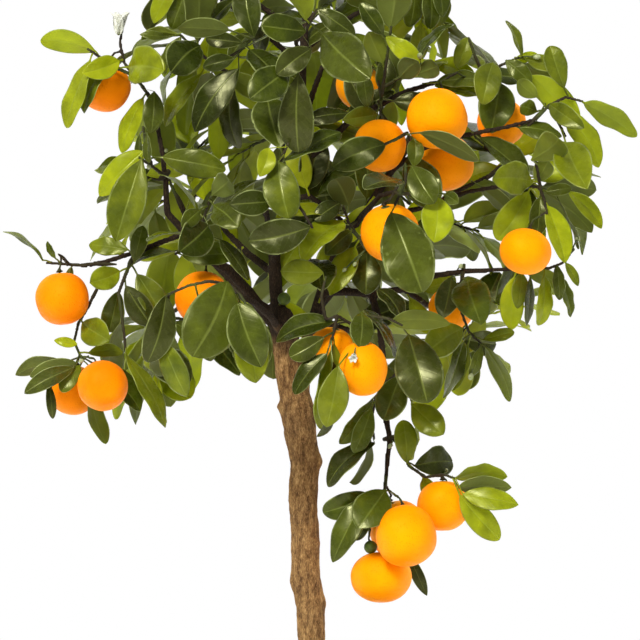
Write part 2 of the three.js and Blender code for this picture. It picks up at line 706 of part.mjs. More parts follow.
// A tapered tube with closed ends along a smooth curve through middles
// widen(angle, share of the length) scales its radius
function taperedTube(middles, radii, { sides, steps, grow = 0, widen = () => 1 }) {
  const curve = new THREE.CatmullRomCurve3(middles, false, 'catmullrom', 0.5);
  const spans = middles.length - 1;
  const count = spans * steps;
  const points = [];
  const triangles = [];
  let normal = new THREE.Vector3(0, -1, 0.01);
  for (let i = 0; i <= count; i++) {
    const t = i / count;
    const span = Math.min(Math.floor(t * spans), spans - 1);
    const radius = THREE.MathUtils.lerp(radii[span], radii[span + 1], t * spans - span) + grow;
    const middle = curve.getPoint(t);
    const tangent = curve.getTangent(t);
    if (i === 0) middle.addScaledVector(tangent, -grow);
    if (i === count) middle.addScaledVector(tangent, grow);
    if (i === 0 && Math.abs(tangent.y) > 0.9) normal.set(1, 0, 0.01);
    normal.addScaledVector(tangent, -normal.dot(tangent)).normalize();
    const side = new THREE.Vector3().crossVectors(tangent, normal);
    for (let k = 0; k < sides; k++) {
      const angle = (2 * Math.PI * k) / sides;
      const reach = radius * widen(angle, t);
      points.push(middle.clone()
        .addScaledVector(normal, reach * Math.cos(angle))
        .addScaledVector(side, reach * Math.sin(angle)));
    }
    if (i === 0) continue;
    const a = (i - 1) * sides;
    for (let k = 0; k < sides; k++) {
      const next = (k + 1) % sides;
      triangles.push(a + k, a + next, a + sides + k, a + next, a + sides + next, a + sides + k);
    }
  }
  const last = count * sides;
  for (let k = 1; k < sides - 1; k++) {
    triangles.push(0, k + 1, k, last, last + k, last + k + 1);
  }
  return geometryFrom(points, triangles);
}

// Pot, soil and screen
function turned(profile) {
  const points = profile.map(([r, z]) => new THREE.Vector2(r, z));
  return new THREE.LatheGeometry(points, POT_SEGMENTS).rotateX(Math.PI / 2);
}

function potGeometry() {
  const inside = POT_RADIUS - LIP_WIDTH;
  return turned([
    [DRAIN_RADIUS, FOOT_HEIGHT],
    [FOOT_RADIUS - FOOT_WIDTH, FOOT_HEIGHT],
    [FOOT_RADIUS - FOOT_WIDTH, 0],
    [FOOT_RADIUS, 0],
    [FOOT_RADIUS + 4, FOOT_HEIGHT],
    [POT_RADIUS - 11, FOOT_HEIGHT + 22],
    [POT_RADIUS - 6, POT_HEIGHT - LIP_HEIGHT - 6],
    [POT_RADIUS, POT_HEIGHT - LIP_HEIGHT],
    [POT_RADIUS, POT_HEIGHT - 2],
    [POT_RADIUS - 2, POT_HEIGHT],
    [inside, POT_HEIGHT],
    [POT_RADIUS - 11 - POT_WALL, FOOT_HEIGHT + 26],
    [FOOT_RADIUS - 8, FOOT_HEIGHT + POT_FLOOR],
    [DRAIN_RADIUS, FOOT_HEIGHT + POT_FLOOR],
    [DRAIN_RADIUS, FOOT_HEIGHT],
  ]);
}

function soilGeometry() {
  const floor = FOOT_HEIGHT + POT_FLOOR + GAP;
  const wallTop = POT_RADIUS - LIP_WIDTH - GAP;
  const wallFoot = POT_RADIUS - 11 - POT_WALL - GAP;
  const edge = THREE.MathUtils.mapLinear(SOIL_EDGE, FOOT_HEIGHT + 26, POT_HEIGHT, wallFoot, wallTop);
  const recess = SCREEN_THICKNESS + GAP;
  return turned([
    [0, floor + recess],
    [SCREEN_RADIUS + GAP, floor + recess],
    [SCREEN_RADIUS + GAP, floor],
    [FOOT_RADIUS - 8 - GAP, floor],
    [wallFoot, FOOT_HEIGHT + 26],
    [edge, SOIL_EDGE],
    [edge * 0.8, SOIL_EDGE + 3],
    [edge * 0.45, SOIL_TOP - 2],
    [0, SOIL_TOP],
  ]);
}

// A round of points about (x, y), turned by start
function roundOf(x, y, radius, count, start) {
  return Array.from({ length: count }, (_, i) => {
    const angle = start + (2 * Math.PI * i) / count;
    return new THREE.Vector2(x + radius * Math.cos(angle), y + radius * Math.sin(angle));
  });
}

function screenGeometry() {
  const outline = new THREE.Shape(roundOf(0, 0, SCREEN_RADIUS, POT_SEGMENTS, 0));
  for (let i = 0; i < SCREEN_HOLES; i++) {
    const angle = i * GOLDEN_ANGLE;
    const reach = SCREEN_RADIUS * 0.8 * Math.sqrt((i + 0.3) / SCREEN_HOLES);
    const hole = roundOf(reach * Math.cos(angle), reach * Math.sin(angle), SCREEN_HOLE_RADIUS, 6, angle);
    outline.holes.push(new THREE.Path(hole));
  }
  return new THREE.ExtrudeGeometry(outline, { depth: SCREEN_THICKNESS, bevelEnabled: false })
    .translate(0, 0, FOOT_HEIGHT + POT_FLOOR + GAP);
}

// Trunk and limbs
function trunkSolid(grow) {
  const soilShare = 0.16; // where the soil's top meets the trunk
  const lobed = (t) => ROOT_LOBE_DEPTH * Math.exp(-(((t - soilShare) / 0.09) ** 2));
  const widen = (angle, t) => 1 + lobed(t) * Math.cos(ROOT_LOBES * angle);
  const middles = TRUNK.map(([x, depth, z]) => new THREE.Vector3(x, depth, z));
  const radii = TRUNK.map((p) => p[3]);
  return solidOf(taperedTube(middles, radii, { sides: TRUNK_SIDES, steps: 1, grow, widen }));
}

function limbSolid(points, grow) {
  const middles = points.map(([x, depth, z]) => seen(x, depth, z));
  const sides = points[0][3] >= STOUT ? LIMB_SIDES[0] : LIMB_SIDES[1];
  return solidOf(taperedTube(middles, points.map((p) => p[3]), { sides, steps: 1, grow }));
}

// Fruits
function fruitSolid([middle, width, height, stalk], grow) {
  const turn = new THREE.Quaternion().setFromUnitVectors(UP, stalkDirection(stalk));
  const geometry = new THREE.SphereGeometry(1, FRUIT_SEGMENTS, FRUIT_RINGS)
    .rotateX(Math.PI / 2)
    .scale(width / 2 + grow, width / 2 + grow, height / 2 + grow)
    .applyQuaternion(turn)
    .translate(...seen(...middle));
  return solidOf(geometry);
}

function stalkDirection(stalk) {
  return new THREE.Vector3(...stalk).normalize();
}

// Twigs and stalks
function twigSolid(points, radius, tipRadius) {
  const radii = points.map((_, i) => THREE.MathUtils.lerp(radius, tipRadius, i / (points.length - 1)));
  return solidOf(taperedTube(points, radii, { sides: TWIG_SIDES, steps: 1 }));
}

// The middle line of a twig, straight from bend to bend
function lineThrough(points) {
  const line = new THREE.CurvePath();
  for (let i = 1; i < points.length; i++) line.add(new THREE.LineCurve3(points[i - 1], points[i]));
  return line;
}

// The share of a twig's length between its insets
function insideTwig(twig, share) {
  const length = twig.getLength();
  return THREE.MathUtils.lerp(START_INSET / length, 1 - END_INSET / length, share);
}

// The point on the twigs' middle lines that is nearest by the given measure, clear of their ends
function nearestOnTwigs(twigs, farness) {
  const along = Array.from({ length: 41 }, (_, i) => i / 40);
  const points = twigs.flatMap((twig) => along.map((share) => twig.getPoint(insideTwig(twig, share))));
  return points.reduce((best, point) => (farness(point) < farness(best) ? point : best));
}

// From a calyx at the fruit's skin out along the stalk's direction, over its bends to the nearest twig
function stalkSolid(name, bends, twigs) {
  const [middle, , height, stalk] = FRUITS[name];
  const out = (far) => seen(...middle).addScaledVector(stalkDirection(stalk), height / 2 + far);
  const path = bends.map((b) => seen(...b));
  const end = path.length ? path[path.length - 1] : out(CALYX_HEIGHT);
  path.push(nearestOnTwigs(twigs, (p) => p.distanceTo(end)));
  return solidOf(taperedTube(
    [out(GAP), out(CALYX_HEIGHT), ...path],
    [CALYX_RADIUS, STALK_RADIUS, ...path.map(() => STALK_RADIUS)],
    { sides: TWIG_SIDES, steps: 1 },
  ));
}

// Leaves. A blade is a low roof in section: left edge, midrib, right edge. Two such rings and a tip make it.
// grow makes it larger all round.
function bladeRings({ foot, tip, width, normal, sag, droop, roll }, grow = 0) {
  const axis = tip.clone().sub(foot);
  const length = axis.length();
  axis.normalize();
  const side = new THREE.Vector3().crossVectors(axis, normal).normalize();
  const above = new THREE.Vector3().crossVectors(side, axis).normalize();
  const half = width / 2 + grow;
  const ring = (t, share) => {
    const arch = 4 * t * (1 - t) * sag * length;
    const rib = foot.clone().addScaledVector(axis, length * t).addScaledVector(above, arch);
    return [
      rib.clone().addScaledVector(side, -share * half).addScaledVector(above, (roll - droop) * half - grow),
      rib.clone().addScaledVector(above, RIB_THICKNESS + grow),
      rib.clone().addScaledVector(side, share * half).addScaledVector(above, (-roll - droop) * half - grow),
    ];
  };
  const end = tip.clone().addScaledVector(axis, grow);
  return { rings: [ring(0.3, 0.93), ring(0.7, 0.84)], end, side, above };
}

// Triangles of the wall between two rings of three. Both faces of a blade split alike.
function wallTriangles(a, b) {
  return [0, 1, 2].flatMap((k) => {
    const next = (k + 1) % 3;
    return [[a[k], a[next], b[k]], [a[next], b[next], b[k]]];
  });
}

// A leaf by itself, from a slim end that lies the given share of the way from the root to the blade
function leafSolid(leaf, grow = 0, from = 0) {
  const { rings, end, side, above } = bladeRings(leaf, grow);
  const start = leaf.root.clone().lerp(rings[0][1], from);
  const slim = [-1, 0, 1].map((k) => start.clone()
    .addScaledVector(side, k * (0.5 + grow))
    .addScaledVector(above, (k ? -1 : 1) * (0.4 + grow)));
  const points = [...slim, ...rings.flat(), end];
  const walls = [...wallTriangles([0, 1, 2], [3, 4, 5]), ...wallTriangles([3, 4, 5], [6, 7, 8])];
  return solidOf(geometryFrom(points, [0, 2, 1, ...walls.flat(), 9, 6, 7, 9, 7, 8, 9, 8, 6]));
}

// The surface of a spray: its points, the faces of its stem, which leaves grow from, and those of its leaves
function surfaceOf(solid) {
  const geometry = geometryOf(solid);
  const position = geometry.getAttribute('position');
  const points = Array.from({ length: position.count }, (_, i) => (
    new THREE.Vector3().fromBufferAttribute(position, i)));
  const index = geometry.index.array;
  const stem = Array.from({ length: index.length / 3 }, (_, i) => [...index.slice(3 * i, 3 * i + 3)]);
  return { points, stem, leaves: [] };
}

// The face that a leaf's stalk leaves the stem by, and the small triangle in it that the stalk grows from
function openingFor({ points, stem }, leaf) {
  const toBlade = bladeRings(leaf).rings[0][1].sub(leaf.root);
  const ray = new THREE.Ray(leaf.root, toBlade.normalize());
  let best = null;
  stem.forEach((face, i) => {
    const hit = ray.intersectTriangle(...face.map((k) => points[k]), false, new THREE.Vector3());
    const far = hit ? hit.distanceTo(leaf.root) : Infinity;
    if (far < (best ? best.far : MOST_SUNK)) best = { i, hit, far };
  });
  if (!best) return null;
  const corners = stem[best.i].map((k) => points[k]);
  const middle = corners.reduce((sum, c) => sum.add(c), new THREE.Vector3()).multiplyScalar(1 / 3);
  middle.lerp(best.hit, 0.6);
  const inner = corners.map((c) => middle.clone().lerp(c, Math.min(0.45, STALK_ROOT / c.distanceTo(middle))));
  return new THREE.Triangle(...inner).getArea() > LEAST_ROOT_AREA ? { face: best.i, inner } : null;
}

// The surface with a leaf grown out of its opening, or null where the leaf would pass through the surface
function withLeaf({ points: before, stem, leaves }, leaf, { face, inner }) {
  const points = [...before];
  const { rings, end } = bladeRings(leaf);
  const add = (list) => list.map((p) => points.push(p) - 1);
  const base = add(inner);
  const [first, second] = rings.map(add);
  const [tip] = add([end]);
  const opened = [...stem.filter((_, i) => i !== face), ...wallTriangles(stem[face], base)];
  const blade = [...wallTriangles(first, second), ...second.map((v, k) => [v, second[(k + 1) % 3], tip])];
  for (const turn of [0, 1, 2]) {
    const turned = base.map((_, i) => base[(i + turn) % 3]);
    const leafFaces = [...wallTriangles(turned, first), ...blade];
    const all = [...leaves, ...leafFaces];
    if (!anyCross(points, leafFaces, [...opened, ...all])) return { points, stem: opened, leaves: all };
  }
  return null;
}

// Whether the edge from a to b passes through a face
function passes(a, b, face) {
  const far = a.distanceTo(b);
  const ray = new THREE.Ray(a, b.clone().sub(a).normalize());
  const hit = ray.intersectTriangle(...face, false, new THREE.Vector3());
  return Boolean(hit) && hit.distanceTo(a) > LEAST_CROSSING && hit.distanceTo(a) < far - LEAST_CROSSING;
}

// Whether a face of one list crosses a face of the other. Faces that share an edge don't.
function anyCross(points, list, others) {
  const corners = (face) => face.map((k) => points[k]);
  const boxed = (faces) => faces.map((face) => (
    { face, box: new THREE.Box3().setFromPoints(corners(face)) }));
  const through = (face, other) => {
    const free = face.filter((k) => !other.includes(k));
    if (free.length < 2) return false;
    const edges = free.length === 2 ? [free] : [[face[0], face[1]], [face[1], face[2]], [face[2], face[0]]];
    return edges.some(([p, q]) => passes(points[p], points[q], corners(other)));
  };
  const all = new THREE.Box3().setFromPoints(list.flatMap(corners));
  const near = boxed(others).filter(({ box }) => box.intersectsBox(all));
  return boxed(list).some((a) => near.some((b) => (
    a.box.intersectsBox(b.box) && (through(a.face, b.face) || through(b.face, a.face)))));
}

// Where the light falls on a leaf from: above, and outwards from the crown's middle
function lightAt(point) {
  const outwards = point.clone().sub(CROWN_CENTRE).normalize();
  return outwards.multiplyScalar(0.55).addScaledVector(UP, 0.8).normalize();
}

// The upper face turned to the light
function facingLight(leaf) {
  const axis = leaf.tip.clone().sub(leaf.foot).normalize();
  leaf.normal.addScaledVector(axis, -leaf.normal.dot(axis)).normalize();
  if (leaf.normal.dot(lightAt(leaf.foot)) < 0) leaf.normal.negate();
  return leaf;
}

// A leaf measured from the front. Its true length and its turn follow from how long and how wide it looks.
function measuredLeaf([x0, z0, x1, z1, seenWidth, behind = 0], twigs, petiole, shift, turn, draws) {
  const away = behind ? 1 : -1;
  const seenLength = Math.hypot(x1 - x0, z1 - z0);
  const stalk = petiole / seenLength;
  const seenRoot = new THREE.Vector3(x0 - stalk * (x1 - x0), 0, z0 - stalk * (z1 - z0));
  const root = nearestOnTwigs(twigs, (p) => sight(p).distanceTo(seenRoot));
  const width = Math.max(seenWidth, Math.min(0.44 * seenLength, 24));
  const length = Math.max(seenLength, 1.75 * width);
  const footDepth = root.y + away * 3 + shift * 0.5;
  const tipDepth = footDepth + away * Math.sqrt(length ** 2 - seenLength ** 2) * 0.8 + shift * 0.5;
  const foot = seen(x0, footDepth, z0);
  const tip = seen(x1, tipDepth, z1);
  const axis = tip.clone().sub(foot).normalize();
  const normal = FRONT.clone().addScaledVector(axis, -FRONT.dot(axis)).normalize();
  const roll = Math.acos(THREE.MathUtils.clamp(seenWidth / width, 0.12, 1));
  const lit = lightAt(foot).cross(FRONT).dot(axis);
  normal.applyAxisAngle(axis, turn * (lit < 0 ? roll : -roll));
  return facingLight({ root, foot, tip, width, normal, ...draws });
}

// A leaf by the rule: round the twig by the golden angle, leaning forward along it, drooping a little
function ruledLeaf(twig, share, angle, size, lean) {
  const t = insideTwig(twig, share);
  const root = twig.getPoint(t);
  const tangent = twig.getTangent(t);
  const across = new THREE.Vector3().crossVectors(tangent, UP).normalize();
  const radial = across.clone().applyAxisAngle(tangent, angle);
  const reach = tangent.clone().multiplyScalar(lean)
    .addScaledVector(radial, 1 - 0.5 * lean)
    .addScaledVector(UP, -0.22)
    .normalize();
  const foot = root.clone().addScaledVector(reach, PETIOLE_LENGTH);
  const tip = foot.clone().addScaledVector(reach, size.length).addScaledVector(UP, -0.12 * size.length);
  return facingLight({ root, foot, tip, width: size.width, normal: lightAt(foot), ...size.draws });
}

const random = randomFrom(SEED);

function leafDraws() {
  return { sag: 0.02 + 0.08 * random(), droop: 0.12 * random(), roll: 0.2 * (random() - 0.5) };
}

// Everything that a leaf has to stay clear of: { box, solid, spray }
const obstacles = [];

function addObstacle(solid, spray = null) {
  obstacles.push({ solid, spray, box: boxOf(solid) });
}

function meets(a, b) {
  const common = a.intersect(b);
  const touching = !common.isEmpty();
  common.delete();
  return touching;
}

function isClear(leaf, spray) {
  const whole = leafSolid(leaf, GAP);
  const blade = leafSolid(leaf, GAP, OWN_SHARE);
  const box = boxOf(whole);
  const clear = obstacles.every((o) => (
    !o.box.intersectsBox(box) || !meets(o.spray === spray ? blade : whole, o.solid)));
  whole.delete();
  blade.delete();
  return clear;
}

// The first of the candidates that is clear of everything grows out of the spray's stem
function keepFirstClear(candidates, spray) {
  for (const leaf of candidates) {
    const opening = openingFor(spray.surface, leaf);
    const grown = opening && isClear(leaf, spray.name) && withLeaf(spray.surface, leaf, opening);
    if (grown) {
      spray.surface = grown;
      addObstacle(leafSolid(leaf), spray.name);
      return leaf;
    }
  }
  return null;
}

// Tried in turn for a leaf that isn't clear: shifts in depth, turns about the twig, slides along it
const SHIFTS = [0, 5, -5, 10, -10, 16, 22, -16, 30, -22, 42];

function addMeasuredLeaf(row, spray) {
  const sign = row[5] ? 1 : -1;
  const draws = leafDraws();
  const candidates = PETIOLE_TRIES.flatMap((petiole) => SHIFTS.flatMap((shift) => [1, -1].map((turn) => (
    measuredLeaf(row, spray.twigs, petiole, sign * shift, turn, draws)))));
  const leaf = keepFirstClear(candidates, spray);
  if (leaf) addToView(leaf);
}

// Whether a seen point lies within the crown's outline: a line to its right crosses an odd number of sides
function isWithinOutline({ x, z }) {
  const crosses = ([x0, z0], [x1, z1]) => (
    (z0 > z) !== (z1 > z) && x < x0 + ((z - z0) / (z1 - z0)) * (x1 - x0));
  const crossed = CROWN_OUTLINE.filter((a, i) => crosses(a, CROWN_OUTLINE[(i + 1) % CROWN_OUTLINE.length]));
  return crossed.length % 2 === 1;
}

function isInCrown({ foot, tip }) {
  return Math.abs(tip.y) < CROWN_DEPTH && [foot, tip].every((p) => isWithinOutline(sight(p)));
}

// What leaves by rule don't hang in front of: { line, reach, depth } of each fruit and measured leaf as seen
const inView = Object.values(FRUITS).map(([[x, depth, z], width]) => (
  { line: new THREE.Line3(seen(x, 0, z), seen(x, 0, z)), reach: FRUIT_IN_VIEW * width, depth }));

function addToView({ foot, tip, width }) {
  inView.push({ line: new THREE.Line3(sight(foot), sight(tip)), reach: LEAF_IN_VIEW * width, depth: foot.y });
}

function hidesWhatIsSeen({ foot, tip }) {
  return [0, 0.25, 0.5, 0.75, 1].some((t) => {
    const place = foot.clone().lerp(tip, t);
    const spot = sight(place);
    return inView.some(({ line, reach, depth }) => (
      place.y < depth && line.closestPointToPoint(spot, true, new THREE.Vector3()).distanceTo(spot) < reach));
  });
}

const TURNS = [0, 0.4, -0.4, 0.8, -0.8, 1.2, -1.2, 1.6, -1.6, 2.2, -2.2, 3];
const SLIDES = [0, 0.06, 0.12];

function addRuledLeaf(twig, share, angle, spray) {
  const draws = leafDraws();
  const length = THREE.MathUtils.lerp(...LEAF_LENGTH, random());
  const ratio = LEAF_RATIO * (0.9 + 0.2 * random());
  const lean = 0.45 + 0.3 * random() + (share > 0.95 ? 0.5 : 0);
  const candidates = TURNS.flatMap((turn) => SLIDES.map((slide) => {
    const shorter = length * (1 - 0.08 * Math.abs(turn));
    const size = { length: shorter, width: shorter * ratio, draws };
    return ruledLeaf(twig, share - slide, angle + turn, size, lean);
  }));
  keepFirstClear(candidates.filter((leaf) => isInCrown(leaf) && !hidesWhatIsSeen(leaf)), spray);
}

// Assembly
const group = new THREE.Group();
const materials = Object.fromEntries(Object.entries(COLOURS).map(([name, color]) => [
  name,
  new THREE.MeshStandardMaterial({ color, roughness: name === 'fruit' ? 0.4 : 0.6, metalness: 0 }),
]));

function addMesh(name, geometry, material) {
  const mesh = new THREE.Mesh(geometry, materials[material].clone());
  mesh.name = name;
  group.add(mesh);
}

addMesh('pot', geometryOf(solidOf(potGeometry())), 'pot');
addMesh('soil', geometryOf(solidOf(soilGeometry()).subtract(trunkSolid(GAP))), 'soil');
addMesh('drainage_screen', geometryOf(solidOf(screenGeometry())), 'screen');

const limbPoints = Object.values(LIMBS);
const wood = wasm.Manifold.union([trunkSolid(0), ...limbPoints.map((p) => limbSolid(p, 0))]);
const woodRoom = wasm.Manifold.union([trunkSolid(GAP), ...limbPoints.map((p) => limbSolid(p, GAP))]);
addMesh('trunk_and_limbs', geometryOf(wood), 'wood');
addObstacle(trunkSolid(0));
limbPoints.forEach((points) => addObstacle(limbSolid(points, 0)));

const fruitRoom = {};
for (const [name, fruit] of Object.entries(FRUITS)) {
  const solid = fruitSolid(fruit, 0);
  addMesh(name, geometryOf(solid), 'fruit');
  addObstacle(fruitSolid(fruit, 2 * GAP));
  fruitRoom[name] = fruitSolid(fruit, GAP);
}

// Where a twig starts that carries on from a limb's end
function beyond(limb) {
  const [before, last] = LIMBS[limb].slice(-2).map(([x, depth, z]) => seen(x, depth, z));
  return last.clone().addScaledVector(last.clone().sub(before).normalize(), TWIG_GAP);
}

const sprays = Object.entries(SPRAYS).map(([name, { on, twigs, leaves: rows, fruits = {}, rule }]) => {
  const bends = twigs.map((twig) => twig.map((p) => seen(...p)));
  if (on) bends[0].unshift(beyond(on));
  const lines = bends.map(lineThrough);
  const stems = bends.map((points) => twigSolid(points, TWIG_RADIUS, TWIG_TIP_RADIUS));
  const stalks = Object.entries(fruits).map(([fruit, stalkBends]) => stalkSolid(fruit, stalkBends, lines));
  const rooms = Object.keys(fruits).map((fruit) => fruitRoom[fruit]);
  const joined = wasm.Manifold.union([...stems, ...stalks]);
  const stem = largestBody([woodRoom, ...rooms].reduce((a, b) => a.subtract(b), joined));
  addObstacle(stem, name);
  return { name, rows, rule, twigs: lines, surface: surfaceOf(stem) };
});

for (const spray of sprays) {
  for (const row of spray.rows) addMeasuredLeaf(row, spray);
}
for (const spray of sprays) {
  spray.twigs.forEach((twig, i) => {
    const count = spray.rule[Math.min(i, spray.rule.length - 1)];
    const start = 2 * Math.PI * random();
    for (let k = 0; k < count; k++) {
      addRuledLeaf(twig, 0.3 + (0.7 * (k + 1)) / count, start + k * GOLDEN_ANGLE, spray);
    }
  });
  const { points, stem, leaves } = spray.surface;
  addMesh(spray.name, geometryFrom(points, [...stem, ...leaves].flat()), 'leaf');
}

export default group;
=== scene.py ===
"""Looks of the orange tree grown as a bonsai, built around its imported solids. Metres, +Z up."""

import math
import random
from collections import namedtuple

import bmesh
import bpy
import numpy as np
from mathutils import Euler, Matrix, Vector, noise
from mathutils.bvhtree import BVHTree
from mathutils.kdtree import KDTree


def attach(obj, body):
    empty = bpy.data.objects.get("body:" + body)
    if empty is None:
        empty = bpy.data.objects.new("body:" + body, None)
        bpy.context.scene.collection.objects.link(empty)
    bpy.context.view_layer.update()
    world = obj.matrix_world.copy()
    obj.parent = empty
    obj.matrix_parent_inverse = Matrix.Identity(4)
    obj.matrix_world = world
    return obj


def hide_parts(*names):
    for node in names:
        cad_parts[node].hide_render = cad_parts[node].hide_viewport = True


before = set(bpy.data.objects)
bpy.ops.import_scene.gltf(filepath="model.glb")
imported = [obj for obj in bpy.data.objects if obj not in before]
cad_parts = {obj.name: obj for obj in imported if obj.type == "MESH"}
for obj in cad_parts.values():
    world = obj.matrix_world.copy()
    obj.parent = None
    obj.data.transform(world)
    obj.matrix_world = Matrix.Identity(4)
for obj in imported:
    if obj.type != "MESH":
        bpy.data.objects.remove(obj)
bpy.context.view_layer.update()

MM = 0.001
EYE = Vector((0.0, -3.0, 0.4))
SEEN_HALF_WIDTH = 0.224  # of the picture, in the trunk's plane
RIB_THICKNESS = 1.3 * MM  # of the solid leaves
TRUNK_X = -0.012
TRUNK_REACH = 0.032  # from the trunk's middle
FOOT_HEIGHT = 0.2  # under which there is no limb
FORK_HEIGHT = 0.345
LIMB_BARK_AND_SHADE_HEIGHT = 0.372  # where the trunk's bark gives way to the limbs' darker bark and painted shade
GOLDEN_ANGLE = 2.39996
UP = Vector((0, 0, 1))

rng = random.Random(7)
SPRAYS = sorted(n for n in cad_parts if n.startswith("spray_"))

# Leaves measured for their tone: x and height of foot and tip as seen, in millimetres, then the tone
# from dark to light, which holds painted shade and painted backlight as well as the leaf's own colour
TONES = [
    (-157, 588, -195, 597, 0.95), (-141, 581, -166, 573, 0.9), (-134, 577, -110, 575, 0.75),
    (-150, 577, -166, 545, 0.5), (-161, 582, -179, 535, 0.8), (-124, 555, -139, 517, 0.8),
    (-83, 572, -110, 537, 0.6), (-116, 560, -118, 531, 0.4), (-67, 562, -72, 512, 0.85),
    (-124, 518, -155, 487, 0.85), (-125, 513, -143, 455, 0.52), (-128, 432, -110, 402, 0.45),
    (-96, 445, -55, 446, 0.4), (46, 598, 70, 580, 0.9), (148, 571, 183, 538, 0.85),
    (185, 552, 222, 529, 0.72), (172, 546, 197, 508, 0.72), (172, 524, 187, 492, 0.66),
    (171, 562, 161, 592, 0.5), (174, 490, 198, 465, 0.8), (159, 480, 172, 440, 0.85),
    (157, 432, 155, 396, 0.8), (147, 430, 145, 396, 0.3), (98, 277, 126, 246, 0.78),
    (100, 278, 139, 271, 0.7), (97, 283, 134, 283, 0.3), (10, 384, 2, 323, 0.6),
    (-111, 386, -94, 346, 0.5), (52, 553, 78, 550, 0.12), (50, 399, 91, 398, 0.55),
    (64, 341, 86, 320, 0.6), (44, 580, 34, 602, 0.6), (-10, 602, -41, 606, 0.25),
    (-110, 514, -66, 505, 0.4), (-29, 511, -22, 472, 0.5), (64, 508, 80, 482, 0.35),
    (50, 475, 71, 420, 0.32), (-57, 576, -88, 532, 0.1), (-62, 566, -58, 520, 0.1),
    (-15, 573, -15, 517, 0.12), (-34, 483, -63, 481, 0.15), (-7, 465, -50, 455, 0.1),
    (-65, 427, -88, 376, 0.4), (-56, 412, -42, 366, 0.38), (62, 390, 75, 343, 0.2),
    (56, 361, 45, 331, 0.25), (61, 300, 58, 330, 0.55), (66, 298, 94, 301, 0.12),
    (34, 278, 2, 265, 0.3), (30, 274, 8, 231, 0.3), (38, 314, 4, 285, 0.15),
    (-170, 370, -203, 361, 0.25), (-172, 367, -207, 349, 0.25), (2, 600, 33, 571, 0.3),
    (-24, 574, -48, 556, 0.25), (5, 376, -18, 348, 0.2), (3, 388, -21, 374, 0.25),
    (-54, 396, -45, 356, 0.7),
]
TONE_REACH = 16  # greatest distance, foot and tip together, from a leaf to the row that gives its tone
USUAL_TONE = 0.24

# Leaves seen in the picture that the solids leave out or hold further back: x, height and depth of
# foot and of tip, and width, in millimetres, then the tone, which holds painted shade and painted backlight
MORE_LEAVES = [
    (46, 281, -52, 27, 255, -74, 27, 0.42),
    (13, 368, -127, 4.5, 325, -129, 21, 0.62),
    (-58, 412, -128, -41, 367, -132, 27, 0.3),
    (-168, 368, -62, -181, 350, -72, 12, 0.5),
    (-134, 449, -38, -162, 453, -30, 14, 0.6),
    (96, 272, -30, 90, 254, -24, 10, 0.25),
    (18, 574, 2, 34, 546, -2, 18, 0.08),
    (52, 560, 4, 20, 546, 6, 17, 0.15),
    (46, 586, 4, 46, 560, -2, 15, 0.3),
    (62, 236, -8, 75, 207, -6, 9, 0.05),
    (-190, 356, -62, -187, 331, -66, 7, 0.1),
    (-108, 598, -30, -126, 600, -34, 7, 0.35),
]

PETALS = {"blossom": 18, "flower": 8}  # length in millimetres
LONGEST_STALK = 24 * MM

# Flower buds, open flowers and young fruits: x, height as seen and kind
YOUNG = [
    (-141, 600, "blossom"), (-120, 508, "bud"), (-108, 518, "bud"), (-166, 372, "bud"),
    (12, 432, "bud"), (18, 436, "bud"), (25, 440, "bud"), (98, 437, "bud"), (50, 313, "bud"),
    (150, 584, "bud"), (180, 456, "bud"), (24, 376, "flower"), (47, 368, "flower"), (88, 294, "bud"),
    (-25, 414, "fruit"), (36, 242, "fruit"), (-84, 478, "bud"), (70, 584, "bud"), (-6, 470, "bud"),
    (106, 362, "bud"),
]

# Outline of the crown as seen, x and height in millimetres
CROWN = [
    (-91, 708), (-21, 757), (42, 757), (84, 694), (94, 600), (126, 585), (147, 590), (180, 594),
    (190, 562), (220, 552), (220, 530), (197, 515), (198, 462), (184, 445), (178, 398), (140, 390),
    (134, 346), (112, 358), (92, 330), (106, 296), (96, 250), (10, 244), (4, 276), (20, 322),
    (-14, 344), (-48, 360), (-74, 364), (-91, 342), (-110, 324), (-150, 330), (-208, 342),
    (-210, 368), (-158, 394), (-164, 442), (-146, 456), (-158, 484), (-158, 514), (-140, 520),
    (-134, 548), (-182, 538), (-182, 568), (-140, 584), (-119, 610),
]


def sight(point):
    """Where a point is seen: x and height in the trunk's plane, in millimetres."""
    scale = EYE.y / (EYE.y - point.y)
    return Vector((point.x * scale, EYE.z + (point.z - EYE.z) * scale)) / MM


def placed(x, height, depth):
    """The point that is seen at x and height, at the given depth, all in millimetres."""
    scale = (EYE.y - depth * MM) / EYE.y
    return Vector((x * MM * scale, depth * MM, EYE.z + (height * MM - EYE.z) * scale))


# Node materials


